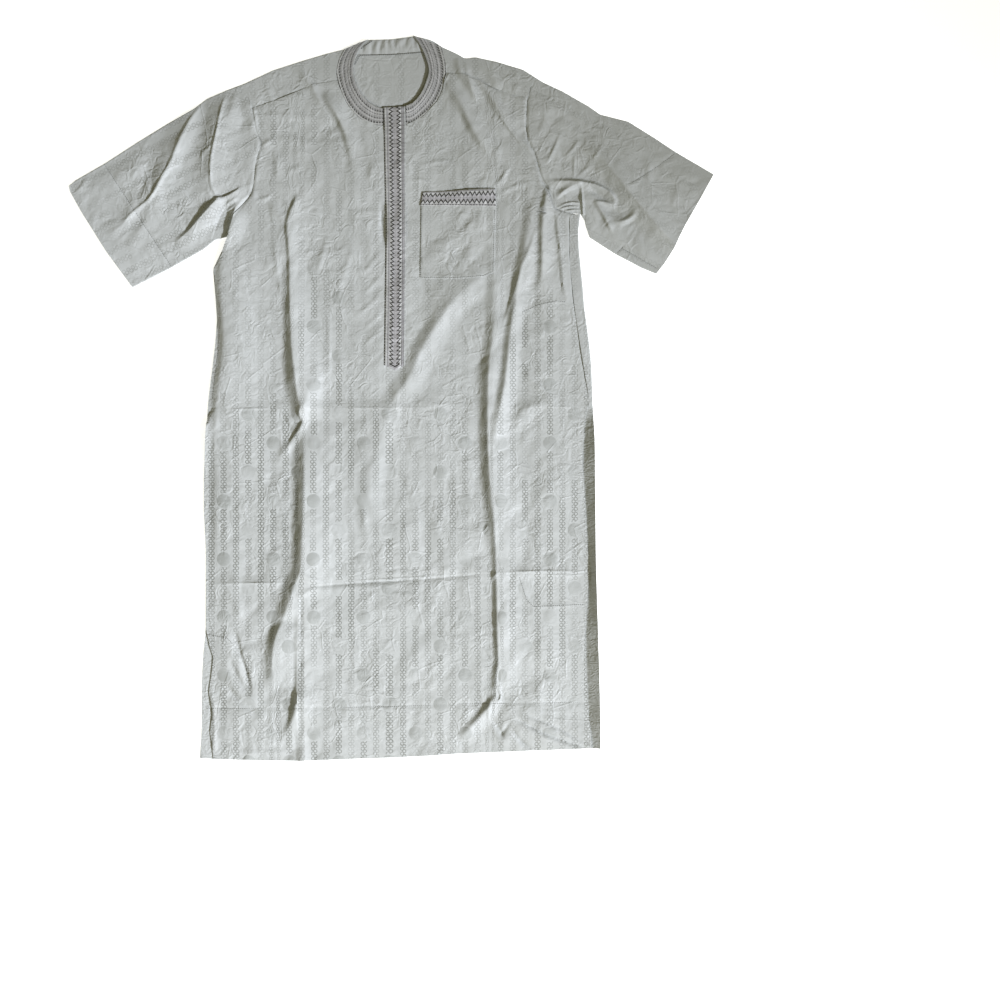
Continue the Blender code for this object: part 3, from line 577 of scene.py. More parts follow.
# ---------------------------------------------------------------------------------------------------
# Front: one panel with the neck hole, the slit under the placket, the side slits and the hem. It lies
# on the back with pressed creases where it was folded and packed, and soft ridges off the shoulders.
LEFT_NECK = [(-22, 415), (-50, 427), (-68, 448), (-79, 474), (-82, 484)]
RIGHT_NECK = [(83, 494), (78, 470), (70, 452), (49, 429), (23, 416)]
FRONT_LEFT_EDGE = [(-247, 247), (-258, 220), (-270, 197)] + [(x + 0.5, y) for x, y in LEFT_SIDE[3:12]] + [
    (-281, -350), (-275, -378), (-270, -392), (-272, -410), (-277, -445), (-272, -480), (-275, -505),
    (-270, -547)]
FRONT_HEM = [(-270, -547)] + [(x, y + 1) for x, y in HEM[2:9]] + [(303, -530)]
# Pressed folds and soft ridges, and below them the small creases; relief() gives the columns.
FRONT_FOLDS = [
    (26, 6.5, 0.5, [(-140, 312), (-152, 285, 3), (-158, 262, 4), (-155, 240, 4), (-153, 200, 4.3),
                    (-152, 160, 3.6), (-151, 110)]),
    (40, 15, 0.5, [(-156, 205), (-154, 165, 4.5), (-151, 120, 9), (-149, 80, 6), (-147, 45)]),
    (50, 21, 0.5, [(-152, 118), (-149, 80, 6), (-146, 50, 13), (-143, 20, 14), (-140, 2, 13),
                   (-137, -20, 7), (-136, -50)]),
    (85, 21, 0.5, [(-135, -36), (-132, -70, 8), (-131, -110, 11.5), (-132, -170, 12.5), (-134, -240, 13),
                   (-136, -262, 12), (-147, -285, 10.5), (-157, -320, 9.5), (-161, -336)]),
    (60, 17, 0.5, [(-152, -304), (-161, -328, 4), (-168, -346, 9.5), (-173, -358, 10), (-177, -378, 9),
                   (-180, -400, 7), (-180, -420, 5), (-178, -440)]),
    (44, 9, 0.5, [(-140, -318), (-140, -350, 2), (-140, -385, 4), (-140, -430, 5.5), (-141, -455, 7),
                  (-144, -470, 7), (-148, -484, 6), (-155, -498, 4), (-163, -513, 2.5), (-167, -524)]),
    (30, 20, 0.4, [(-141, -440), (-142, -458, 3.5), (-145, -474, 3.5), (-150, -492)]),
    (30, 60, 0.4, [(150, 190), (130, 180, 5), (110, 164, 7), (86, 138, 6), (66, 106)]),
    (30, 20, 0.5, [(98, 150), (82, 132, 4), (60, 98, 8), (38, 58, 7), (32, 38, 6), (16, 16, 5.5),
                   (4, 0, 4.5), (-4, -18)]),
    (27, 70, 0.3, [(4, 0), (-5, -22, 4.5), (-14, -55, 4.5), (-22, -85, 4.5), (-32, -110, 4.5),
                   (-33, -155, 4.5), (-27, -188, 3.5), (-14, -218)]),
    (20, 16, 0.2, [(158, 215), (157, 185, 3.5), (156, 150, 4), (156, 120, 3.5), (153, 88)]),
    (50, 17, 0.5, [(158, 132), (154, 92, 7), (149, 60, 9.5), (147, 20, 10), (146.5, -40, 11),
                   (148, -100, 11.5), (152, -150, 10), (156, -205, 5), (158, -240)]),
    (50, 9, 0.5, [(154, -150), (157, -205, 4), (159, -250, 5.5), (160, -300, 6.5), (161, -360, 6.5),
                  (163, -402, 6.5), (159, -415, 6), (158, -438, 5), (156, -449)]),
    (22, 9, 0.5, [(164, -445), (158, -451, 5), (149, -463, 6.5), (139, -477, 6), (126, -491, 5),
                  (113, -505, 4), (106, -516)]),
    (26, 14, 0.1, [(216, 306), (210, 262, 4.5), (204, 225, 6), (197, 195, 6), (191, 170, 3), (185, 148)]),
    (22, 12, 0.5, [(200, 212), (195, 190, 3), (190, 160, 6), (185, 130, 8), (181, 100, 8), (178, 70, 8),
                   (176, 50, 8), (173, 25, 8), (168, 0, 7.5), (164, -20, 6), (160, -45, 4), (156, -76)]),
    (20, 9, 0.4, [(240, 330, 2), (236, 308, 6), (231, 285, 7.5), (229, 255, 7.5), (229, 225, 7.5),
                  (229, 200, 6.5), (228, 184, 3), (222, 164)]),
    (30, 16, 0.2, [(234, 192), (226, 172, 3), (213, 148)]),
    (26, 10, 0.3, [(76, 488), (90, 470, 4), (104, 452, 7), (113, 432, 8.5), (122, 411, 8), (138, 387, 5),
                   (154, 366)]),
    (20, 9, 0.3, [(100, 504, 3), (110, 486, 5), (122, 466, 4), (134, 448)]),
    (22, 8, 0.3, [(-106, 462), (-97, 450, 5), (-86, 437, 8), (-77, 420, 8), (-68, 400, 5), (-62, 372, 3),
                  (-57, 335)]),
    (20, 16, 0.5, [(290, -12), (250, -12, 1.2), (110, -13, 0.3), (60, -13, 1.2), (-90, -14, 1.2),
                   (-180, -15, 1), (-275, -20)]),
    (18, 14, 0.5, [(292, -262), (270, -262, 2), (180, -261, 2), (160, -262)]),
    (10, 10, 0.5, [(140, -266), (100, -268, -1.2), (0, -275, -1.2), (-90, -279, -1.2), (-125, -280)]),
    (18, 14, 0.5, [(-160, -279), (-180, -279, 2), (-260, -280, 2), (-278, -280)]),
    (40, 40, 0.0, [(-256, -350), (-240, -385, 2.5), (-228, -430, 3), (-205, -490)]),
    (5, 14, 0.9, [(-239, -346), (-233, -370, -4), (-228, -388, -5), (-221, -410, -5.5), (-216, -428, -5.5),
                  (-212, -452)]),
    (9, 12, 0.8, [(-247, -395), (-239, -407, -4), (-232, -423, -4.5), (-225, -437, -4), (-214, -452)]),
    (10, 10, 0.5, [(-254, -428), (-242, -446, -3.5), (-230, -458, -3.5), (-212, -468, -3.5), (-198, -486)]),
    (45, 60, 0.0, [(150, -470), (190, -492, 3), (240, -508, 4), (275, -518, 4), (303, -528, 3)]),
]
# Seams are sewn 0.3 mm apart and pulled in: a shallow groove along each, whichever pieces it joins.
SEAMS = [(4, 4, 0.4, [(x, y, depth) for x, y in line]) for depth, line in (
    (-1.5, LEFT_ARMHOLE), (-1.8, RIGHT_ARMHOLE + RIGHT_ARMHOLE_TOP[1:]), (-0.7, LEFT_YOKE),
    (-0.8, RIGHT_YOKE), (-1.4, [(299, 4), (291, 54), (282, 112), (277, 147), (272, 203), (270.5, 274)]))]
# Folds along the left armhole and across it, and the groove where the right sleeve's gathers begin.
SEAMS += [
    (8, 22, 0.3, [(-222, 308), (-231, 296, 3.5), (-238, 284, 3), (-241, 274)]),
    (30, 4.5, 0.5, [(-234, 294), (-239, 281, 6), (-242, 268, 9), (-244, 257, 9), (-248, 247, 7)]),
    (5, 22, 0.3, [(-211, 452), (-209, 436, 3.5), (-205, 412, 3.5), (-200, 394)]),
    (4, 4, 0.2, [(226, 336), (231, 326, -4.5), (240, 313, -6), (245, 303, -6), (247, 292, -4), (253, 284)]),
]
FRONT_CREASES = [
    # left side: a soft swell that turns it to the light, steep towards the edge
    (82, 13, 0.0, [(-246, 244), (-258, 205, 4), (-256, 150, 5.5), (-251, 100, 6), (-253, 60, 5.5),
                   (-259, 25, 4.5), (-263, -10, 3.5), (-262, -80, 2.5), (-262, -220, 2), (-262, -262)]),
    # left crease: its pinched top, the knot at the waist and the second soft line
    (14, 6, 0.5, [(-141, 311), (-146, 296, 3), (-153, 281)]),
    (9, 6, 0.6, [(-164, 302), (-158, 291, 1.8), (-151, 281)]),
    (12, 9, 0.4, [(-188, 298), (-176, 287, 2.2), (-166, 275, 2), (-157, 262)]),
    (9, 5, 0.6, [(-184, 292), (-180, 278, 1.6), (-177, 262)]),
    (9, 5, 0.6, [(-179, 252), (-177, 230, 0.9), (-173, 200, 1.1), (-169, 172, 1.1), (-166, 150)]),
    (12, 5, 0.5, [(-137, 3), (-134, -12, 3), (-140, -25, 3.5), (-131, -33, 3.5), (-139, -46, 3.5),
                  (-154, -68, 3), (-162, -86)]),
    (10, 5, 0.5, [(-162, -20), (-155, -33, 2), (-145, -44)]),
    (12, 6, 0.5, [(-156, -58), (-166, -82, 2), (-171, -102)]),
    (12, 6, 0.5, [(-158, -106), (-167, -121, 2), (-176, -134)]),
    # middle: slanting wrinkles left of the placket
    (9, 5, 0.6, [(-98, 250), (-103, 225, 1.8), (-109, 205, 1.6), (-112, 192)]),
    (9, 5, 0.6, [(-58, 238), (-66, 205, 1.8), (-75, 182)]),
    (7, 5, 0.6, [(-15, 222), (-30, 205, 1.5), (-48, 186)]),
    (7, 5, 0.6, [(-14, 190), (-28, 172, 1.5), (-46, 156)]),
    (7, 5, 0.6, [(-13, 166), (-31, 142, 1.5), (-58, 122)]),
    (7, 5, 0.6, [(-12, 136), (-28, 116, 1.5), (-44, 104)]),
    (7, 5, 0.6, [(-12, 108), (-26, 94, 1.5), (-44, 80)]),
    (8, 5, 0.5, [(-10, 286), (-30, 285, 1.2), (-62, 283)]),
    (7, 5, 0.5, [(-23, 362), (-29, 346, 1.8), (-37, 326)]),
    # left armpit: short creases that run out of the sleeve's seam
    (6, 4, 0.6, [(-180, 312), (-188, 304, 2), (-198, 303, 1.6), (-208, 298)]),
    (5, 4, 0.6, [(-211, 318), (-208, 308, 1.8), (-205, 297)]),
    (12, 9, 0.4, [(-172, 372), (-173, 350, 2.2), (-170, 330)]),
    (9, 6, 0.4, [(-130, 353), (-148, 350, 1.8), (-160, 338)]),
    (10, 8, 0.4, [(-100, 424), (-150, 428, 1.4), (-205, 430)]),
    (5, 4, 0.7, [(-177, 394), (-186, 389, 1.6), (-197, 384)]),
    # left shoulder
    (6, 12, 0.6, [(-122, 482, 2.5), (-116, 468, 3.2), (-108, 453, 3), (-101, 438, 1), (-94, 428)]),
    (18, 10, 0.3, [(-128, 391), (-155, 394, 1.4), (-183, 395)]),
    (9, 5, 0.5, [(-176, 397), (-188, 391, 1.5), (-199, 386)]),
    # waist, left: two broad facets beside the long crease
    (27, 22, 0.2, [(-96, 64), (-108, 42, 2.2), (-120, 20, 2.6), (-127, 4, 2.4), (-133, -16, 1.8),
                   (-138, -36)]),
    (3, 3, 0.7, [(-98, 46), (-108, 34, 1.3), (-119, 18)]),
    (3, 3, 0.7, [(-114, 26), (-109, 17, 1.3), (-100, 9)]),
    (3, 4, 0.8, [(-95, 162), (-94, 110, 1.2), (-94, 50, 1.4), (-94, 8)]),
    (10, 5, 0.5, [(-126, 6), (-130, -12, 2), (-134, -32)]),
    (8, 5, 0.6, [(-46, -165), (-40, -182, 2), (-43, -198)]),
    # slit beside the placket, and the cloth pressed down along it
    (4, 4, 0.0, [(-13.5, 302), (-14.5, 285, -2.5), (-14.5, 262, -3), (-13.5, 244, -2.5), (-12, 230)]),
    (4, 4, 0.0, [(-14.5, 441, -1), (-14, 425, -2), (-13, 405)]),
    # pocket: soft slanting folds through the patch
    (26, 18, 0.1, [(152, 282), (128, 264, 1.4), (98, 246, 1.6), (72, 226, 1.4), (52, 196)]),
    (20, 14, 0.1, [(150, 250), (130, 236, 1.2), (112, 214, 1.2), (98, 192)]),
    (14, 9, 0.3, [(120, 286), (104, 276, 1.0), (96, 262)]),
    # right shoulder and chest
    (10, 5, 0.6, [(113, 498, 1), (119, 478, 3), (125, 462, 2.4), (130, 448)]),
    (16, 9, 0.4, [(118, 506, 1), (131, 487, 4), (152, 455, 4.5), (173, 426, 3), (194, 398)]),
    (7, 5, 0.7, [(146, 452), (165, 428, 2.4), (182, 405, 2.4), (200, 388, 2), (215, 372)]),
    (8, 5, 0.6, [(88, 460), (97, 446, 2), (104, 430)]),
    (5, 4, 0.7, [(104, 348), (92, 357, 1.4), (80, 361, 1.6), (60, 358, 1.4), (38, 352)]),
    (4, 4, 0.7, [(62, 320), (55, 328, 1.7), (45, 333, 1.7), (29, 330)]),
    (4, 4, 0.7, [(22, 362), (27, 350, 1.8), (31, 338)]),
    (6, 4, 0.7, [(178, 352), (172, 340, 2.6), (164, 328, 2.4), (150, 322)]),
    (6, 4, 0.7, [(176, 352), (167, 350, 2), (160, 342)]),
    (6, 4, 0.7, [(228, 331), (200, 326, 1.8), (180, 320, 1.8), (160, 308)]),
    (12, 8, 0.4, [(176, 384), (160, 378, 2), (156, 362)]),
    # right side: the dart, the waist facet and the pocket bag that shows through
    (6, 4, 0.7, [(222, 264), (214, 240, 1.8), (205, 215, 1.8), (199, 200)]),
    (12, 5, 0.5, [(250, 282), (251, 266, 3.2), (254, 240, 3.2), (256, 205, 2.6), (260, 168, 2.4),
                  (266, 146)]),
    (2.6, 2.6, 0.6, [(250, 262), (253, 235, -1.8), (255, 200, -2), (258, 168, -2), (264, 147)]),
    (16, 34, 0.3, [(254, -8), (234, -4, 2.4), (216, -10, 2.6), (196, -32, 2.4), (188, -52)]),
    (9, 7, 0.6, [(252, -8), (232, 12, 2), (216, 26, 2), (202, 44)]),
    (7, 6, 0.5, [(206, -12), (197, -17, 2), (188, -40)]),
    (5, 4, 0.6, [(264, 147), (250, 148, 0.8), (222, 142, 0.8), (198, 131)]),
    (6, 5, 0.6, [(295, -311), (250, -314, 1), (215, -314, 1), (205, -303, 1), (195, -272)]),
    (6, 4, 0.6, [(202, 216), (197, 195, 1.5), (186, 160, 1.5), (173, 125, 1.2), (167, 98)]),
    # across the waist and the skirt: crisp pressed lines and the knots on them
    (7, 3, 0.7, [(150, -265), (112, -268, -1), (60, -272, -1.5), (20, -276, -1.6), (-20, -277, -1.6),
                 (-60, -280, -1.2), (-104, -283, -1.5), (-125, -285)]),
    (3, 2.4, 0.8, [(60, -268), (20, -272, 1.2), (-20, -274, 1.2), (-60, -277)]),
    (3, 3, 0.8, [(-16, -262), (0, -260, -1.5), (20, -255, -1.5), (38, -262)]),
    (3, 3, 0.8, [(-12, -283), (0, -288, -1.5), (12, -292, -1.5), (34, -292)]),
    (3, 2.4, 0.8, [(300, -262), (240, -261, 1.4), (190, -262, 1.2), (165, -264)]),
    (3, 2.4, 0.8, [(300, -266), (262, -268, 1.2), (225, -267)]),
    (3, 2.4, 0.8, [(-152, -279), (-200, -279, 1.4), (-278, -281)]),
    (3, 2.4, 0.8, [(282, -14), (262, -12, 0.8), (240, -12)]),
    (3, 2.4, 0.8, [(60, -13), (20, -14, 0.5), (-40, -14, 0.6), (-90, -14)]),
    (3, 2.4, 0.8, [(-178, -14), (-215, -15, 1.4), (-252, -17)]),
    (9, 6, 0.5, [(-103, -279), (-122, -272, 2), (-140, -262)]),
    (9, 6, 0.5, [(-106, -282), (-126, -292, 2), (-142, -300)]),
    (7, 5, 0.6, [(100, -266), (40, -273, 1.2), (-6, -282)]),
    (7, 4, 0.6, [(162, -262), (155, -268, 2.5), (152, -276)]),
    # left edge and left skirt
    (34, 2, 0.4, [(-266, -12), (-279, -32, 5), (-285, -60, 6), (-286, -95, 2), (-285, -120)]),
    (9, 5, 0.5, [(-178, -114), (-200, -110, 1.2), (-224, -106)]),
    (9, 5, 0.5, [(-178, -174), (-192, -171, 1), (-207, -166)]),
    (16, 9, 0.4, [(-249, -282), (-238, -307, 2), (-224, -332)]),
    (12, 7, 0.4, [(-242, -398), (-233, -417, 1.5), (-224, -438)]),
    (5, 4, 0.6, [(-240, -373), (-248, -363, 0.8), (-265, -360, 0.8), (-280, -357)]),
    # the pressed line down the left of the skirt
    (3, 3, 0.6, [(-135, -286), (-136, -320, -2.4), (-137, -380, -2.4), (-138, -440, -2), (-137, -500, -2.2),
                 (-136, -550, -2.2)]),
    # hem: turned up about 75 mm and stitched down, with the knot and the crumpled corner at its right
    (4, 4, 0.4, [(302, -461, -0.9), (120, -462, -0.9), (0, -467, -0.9), (-288, -470, -0.9)]),
    (5, 5, 0.5, [(151, -458), (148, -470, 2.6), (146, -484)]),
    (2.6, 2.6, 0.6, [(158, -438), (163, -437, 2), (166, -446, 2.4), (166, -455, 2.4), (160, -461, 2),
                     (154, -461)]),
    (5, 6, 0.8, [(153, -487), (160, -496, -3), (167, -506, -3), (170, -515)]),
    (5, 5, 0.8, [(183, -487), (175, -497, -2.5), (168, -507, -2.5)]),
    (4, 4, 0.4, [(181, -481), (202, -492, -4), (232, -507, -4.5), (265, -520, -4.5), (300, -531, -2)]),
    (4, 4, 0.4, [(196, -477), (226, -486, -3), (256, -500, -3.5), (286, -518, -3), (302, -526)]),
    (4, 4, 0.4, [(181, -500), (190, -513, -4), (203, -525, -4), (218, -536, -2)]),
    (4, 4, 0.6, [(172, -462), (179, -470, 1.6), (187, -480)]),
    (4, 4, 0.6, [(296, -478), (245, -473, 1.2), (212, -475)]),
    (18, 5, 0.5, [(-138, -496), (-138, -513, 3), (-138, -535, 4), (-138, -550, 4)]),
    (10, 8, 0.3, [(-150, -534), (-200, -538, 1.6), (-262, -536)]),
    (8, 4, 0.6, [(-276, -430), (-272, -455, 1.2), (-268, -490, 1.6), (-270, -530, 1.6)]),
]
# The two long creases, and the height where the armholes begin and the grid's columns start to lean.
LEFT_CREASE = [(-178, -547), (-180, -430), (-178, -380), (-162, -325), (-147, -280), (-139, -262),
               (-136, -160), (-136, -60), (-142, 5), (-152, 120), (-158, 262), (-150, 300), (-140, 460)]
RIGHT_CREASE = [(152, -547), (153, -470), (158, -438), (163, -400), (159, -340), (159, -256), (156, -210),
                (150, -140), (148, -60), (147, 20), (150, 60), (158, 120), (164, 200), (164, 300),
                (150, 460)]
HEM_LEVEL, ARM_LEVEL, TOP_LEVEL = -547, 300.0, 460
# Where the columns start: left edge, left crease, middle, right crease and right edge.
COLUMN_ANCHORS = [-280, -150, 6, 155, 300]
# How much higher the small creases are made than their table says.
CREASES_RAISED = 1.2
# Cloth that each pressed fold takes up: the left crease, the middle line and the right crease.
TAKEN_UP = (13.4, 3.4, 21.8)
# Places where the figure is painted stronger, as painted sheen: x, y, reach across, reach along, how much.
FIGURE_SHEEN_PATCHES = [(-200, -150, 75, 140, 0.5), (-100, 105, 42, 110, 0.5), (210, 75, 48, 80, 0.5),
                  (-145, 400, 60, 26, 0.3), (100, 240, 60, 60, 0.25)]


def front_face(x, y):
    """Height of the front's face: floor, cloth, air under its middle, folds and small creases; never so
    low that it would touch the back."""
    across = ease(x, -284, -225) * ease(-x, -288, -225)
    lift = 1.6 * across * ease(y, -546, -480) * ease(-y, -400, -330)
    z = LAYER + CLOTH + lift + crumple(x, y, 11) * (0.25 + 0.75 * across)
    z = z + relief(x, y, FRONT_FOLDS) + CREASES_RAISED * relief(x, y, FRONT_CREASES) + relief(x, y, SEAMS)
    return np.maximum(z, LAYER + CLOTH / 3)


def grain(x, y):
    """Where the woven columns lie: x, with the cloth that each pressed fold takes up."""
    left, right = x_at(LEFT_CREASE, y), x_at(RIGHT_CREASE, y)
    return (x - TAKEN_UP[0] * (1 - ease(x, left - 12, left + 14)) - TAKEN_UP[1] * ease(x, -14, 12)
            + TAKEN_UP[2] * ease(x, right - 14, right + 12))


def front_state(x, y):
    """The figure is painted stronger in the skirt and in a few places of the chest, as painted sheen; the
    side edges are drawn in by their stitching, by exp(-d^2) from each; the crinkle fades to 0.45 on the
    folds, which are taut."""
    shown = 0.45 + 0.45 * ease(-y, -40, 60)
    for at_x, at_y, reach_x, reach_y, more in FIGURE_SHEEN_PATCHES:
        shown = shown + more * np.exp(-((x - at_x) / reach_x) ** 4 - ((y - at_y) / reach_y) ** 4)
    edge = np.minimum(x - x_at(FRONT_LEFT_EDGE[::-1], y), x_at(FRONT_RIGHT_EDGE, y) - x)
    smooth = 0.55 * np.clip(relief(x, y, FRONT_FOLDS) / 6, 0, 1)
    return np.stack([shown, np.exp(-(edge / 9) ** 2), 1 - smooth], axis=-1)


columns = spaced(COLUMN_ANCHORS[0], COLUMN_ANCHORS[-1], 3.05, [(-150, 26, 1.6), (155, 28, 1.6)])
shares = np.interp(columns, COLUMN_ANCHORS, range(len(COLUMN_ANCHORS)))
rows = spaced(HEM_LEVEL, TOP_LEVEL, 3.0, [(-14, 8, 1.2), (-273, 12, 1.2)])
body = np.minimum(rows, ARM_LEVEL)
rise = np.clip((rows - ARM_LEVEL) / (TOP_LEVEL - ARM_LEVEL), 0, 1)
left_y, right_y = [body + rise * (top[1] - ARM_LEVEL) for top in (LEFT_ARMHOLE[0], RIGHT_ARMHOLE[-1])]
anchors = np.stack([x_at((LEFT_ARMHOLE[:-1] + FRONT_LEFT_EDGE)[::-1], left_y), x_at(LEFT_CREASE, rows),
                    np.full(rows.size, COLUMN_ANCHORS[2]), x_at(RIGHT_CREASE, rows),
                    x_at(FRONT_RIGHT_EDGE + RIGHT_SEAM[1:] + RIGHT_ARMHOLE, right_y)], axis=1)
first = np.minimum(shares.astype(int), len(COLUMN_ANCHORS) - 2)
front_x = anchors[:, first] + (anchors[:, first + 1] - anchors[:, first]) * (shares - first)
top_line = LEFT_YOKE + LEFT_NECK[-2::-1] + RIGHT_NECK[::-1] + RIGHT_YOKE[1:]
top_y = np.interp(front_x[-1], *np.array(top_line, float).T)
hem_y = np.interp(front_x[0], *np.array(FRONT_HEM, float).T)
low = (ARM_LEVEL - body)[:, None] / (ARM_LEVEL - HEM_LEVEL)
front_y = ARM_LEVEL + (top_y - ARM_LEVEL)[None] * rise[:, None] - low * (ARM_LEVEL - hem_y)[None]
front = wall("front_panel", [leaf(np.dstack([front_x, front_y]), front_face(front_x, front_y),
                                  np.dstack([grain(front_x, front_y), front_y]), CLOTH + 0.1)],
             damask, "front", front_state)

# ---------------------------------------------------------------------------------------------------
# Sleeves: one tube each, sewn into the armhole and hemmed at the cuff, lying flat with a fold along the
# top and the underside.
LEFT_SLEEVE_TOP = [(-223, 479), (-250, 469), (-280, 456), (-300, 441), (-340, 418), (-384, 391), (-435, 358),
                   (-480, 332), (-489.5, 324)]
LEFT_CUFF = [(-489.5, 324), (-488, 315), (-470, 283), (-434, 226), (-393, 169)]
LEFT_UNDERSIDE = [(-393, 169), (-338, 197), (-285, 227), (-268, 241), (-247, 247)]
RIGHT_UNDERSIDE = [(287, 281), (293, 271), (295, 262), (301, 245), (340, 220), (380, 199), (402, 190)]
RIGHT_CUFF = [(402, 190), (414, 205), (428, 227), (441, 255), (469, 304), (489.5, 341)]
RIGHT_SLEEVE_TOP = [(489.5, 341), (430, 376), (400, 396), (360, 421), (317, 432), (300, 444), (260, 467),
                    (230, 481), (219, 488)]
LEFT_SLEEVE_FOLDS = [
    # two ridges that run down from the shoulder, lit on the side of the armhole
    (20, 34, 0.6, [(-286, 448), (-300, 428, 4), (-313, 404, 6), (-324, 378, 7), (-333, 355, 7),
                   (-350, 328, 7), (-363, 303, 6), (-380, 290, 4), (-396, 278, 3), (-414, 258, 2),
                   (-428, 245)]),
    (40, 34, 0.6, [(-249, 466), (-256, 443, 6), (-262, 410, 9), (-267, 385, 10), (-272, 360, 10),
                   (-273, 330, 8), (-268, 312, 4), (-262, 302)]),
    # the facet over the armpit, steep on its outer side
    (26, 7, 0.5, [(-256, 308), (-264, 300, 5), (-276, 287, 8), (-290, 272, 8), (-300, 260, 6),
                  (-318, 244, 3), (-330, 235)]),
    (20, 15, 0.2, [(-257, 306), (-266, 298, 3.5), (-276, 288, 3.5), (-287, 276)]),
    # the recess in the armpit
    (12, 12, -0.3, [(-248, 297), (-251, 287, -3), (-255, 272, -6), (-258, 255, -7), (-262, 240, -7)]),
    # small creases on and between them, and the cuff hem
    (6, 4, 0.7, [(-288, 446), (-302, 428, 2), (-314, 404, 2.4), (-325, 378, 2), (-335, 352, 2),
                 (-350, 328, 2.5), (-363, 303, 2.5), (-382, 290, 2), (-396, 278, 1.5), (-412, 258)]),
    (3.5, 3, 0.7, [(-251, 464), (-256, 443, 2), (-262, 410, 2.2), (-267, 385, 2.2), (-272, 360, 2.2),
                   (-273, 330, 2), (-271, 316)]),
    (22, 14, 0.3, [(-330, 344), (-352, 300, 2.5), (-384, 252, 2), (-400, 226)]),
    (8, 5, 0.5, [(-374, 332), (-369, 318, 2), (-363, 304)]),
    (16, 3.5, 0.6, [(-226, 322), (-240, 311, 4.5), (-250, 306, 5), (-262, 304, 4), (-270, 303)]),
    (4, 4, 0.6, [(-273, 322), (-268, 313, 3), (-262, 304)]),
    (3, 5, 0.6, [(-280, 320), (-276, 312, 2), (-270, 304)]),
    (4, 4, 0.7, [(-322, 340), (-300, 328, 1.6), (-278, 322)]),
    (4, 3, 0.5, [(-238, 273), (-250, 275, 3), (-257, 267, 3), (-254, 257, 3), (-247, 252)]),
    (3, 3, 0.5, [(-243, 267), (-248, 263, 3), (-246, 252)]),
    (5, 4, 0.5, [(-230, 306), (-242, 299, 2.4), (-256, 290)]),
    (5, 4, 0.5, [(-233, 296), (-244, 288, 2), (-258, 280)]),
    (9, 6, 0.4, [(-458, 341), (-468, 325, 1.8), (-481, 306)]),
    (7, 4, 0.6, [(-386, 392), (-374, 378, 1.5), (-360, 363)]),
    (16, 10, 0.3, [(-388, 306), (-395, 285, 2), (-404, 262)]),
    (5, 4, 0.6, [(-262, 392), (-285, 372, 1.6), (-290, 352)]),
    (12, 8, 0.5, [(-236, 468), (-240, 440, 2), (-250, 420)]),
    (3, 3, 0.4, [(-436, 357, -0.9), (-385, 279, -0.9), (-334, 201, -0.9)]),
]
RIGHT_SLEEVE_FOLDS = [
    # the pressed fold across it, gentle above and steep below
    (70, 30, 0.8, [(288, 396), (306, 376, 3), (325, 356, 10), (338, 340, 13), (352, 322, 14),
                   (368, 302, 14), (400, 264, 13), (415, 248, 11), (432, 230, 8)]),
    # the lip and the arch of cloth over the gathers
    (12, 6, 0.6, [(340, 290), (339, 303, 5), (330, 314, 5.5), (310, 324, 5.5), (285, 329, 5.5),
                  (262, 330, 4.5), (236, 329)]),
    (12, 5, 0.6, [(307, 300), (312, 294, 4), (322, 278, 5), (330, 262, 4), (336, 250)]),
    # arches of cloth gathered under the arm
    (5, 9, 0.5, [(290, 326), (284, 325, 3.5), (270, 320, 4), (258, 312, 4), (249, 303)]),
    (4, 4, 0.6, [(288, 326), (289, 305, 4.5), (291, 281, 3)]),
    (2.6, 2.6, 0.5, [(288, 295), (280, 298, 3.4), (266, 297, 3.4), (250, 290)]),
    (2.6, 2.6, 0.5, [(288, 290), (278, 292, 3.4), (264, 291, 3.4), (252, 286)]),
    (2.4, 2.4, 0.5, [(288, 286), (280, 287, 3), (270, 286, 3), (256, 283)]),
    (3, 3, 0.6, [(260, 310), (267, 304, 2.4), (277, 296)]),
    (14, 14, 0.0, [(264, 305), (275, 308, -2), (284, 312, -2)]),
    (12, 8, 0.3, [(326, 300), (318, 308, -3), (306, 318, -3), (298, 322)]),
    # the lit lip and the hollow beside it
    (6, 4, 0.6, [(341, 292), (330, 296, 3.4), (318, 299, 3.4), (308, 299)]),
    (12, 12, 0.0, [(318, 290), (335, 284, -2), (352, 282, -2), (366, 290)]),
    (7, 8, 0.4, [(372, 290), (366, 276, 3.5), (352, 268, 3.5), (338, 267)]),
    # creases from the seam
    (7, 4, 0.7, [(258, 406), (247, 380, 2.6), (235, 354)]),
    (7, 4, 0.7, [(288, 398), (276, 380, 2.6), (262, 364)]),
    (5, 4, 0.7, [(279, 376), (277, 352, 2), (277, 332)]),
    (6, 4, 0.7, [(306, 356), (292, 346, 2.2), (280, 334)]),
    (7, 5, 0.6, [(376, 330), (364, 324, 1.6), (350, 312)]),
    (14, 8, 0.3, [(240, 452), (232, 420, 2), (222, 392)]),
    (8, 5, 0.6, [(330, 400), (312, 372, 2), (296, 350)]),
    (12, 8, 0.3, [(395, 372), (388, 345, 2), (392, 318)]),
    (12, 8, 0.3, [(440, 330), (428, 305, 2), (432, 280)]),
    (5, 4, 0.6, [(375, 268), (362, 246, 1.8), (350, 230)]),
    # cuff hem
    (3, 3, 0.4, [(430, 372, -0.9), (398, 348, -0.9), (363, 325, -0.9)]),
    (3, 3, 0.4, [(372, 265, -0.9), (352, 231, -0.9), (343, 222, -0.9)]),
    (3, 3, 0.4, [(349, 229, -0.9), (375, 214, -0.9), (402, 199, -0.9)]),
]
# Size of a sleeve as it lies, how far from its edges it swells, and the ways that the two of them point.
SLEEVE_WIDE = 220.0
SLEEVE_LONG = 250.0
SLEEVE_EDGE = 40.0
LEFT_AXIS, RIGHT_AXIS = (-0.893, -0.450), (0.893, -0.450)


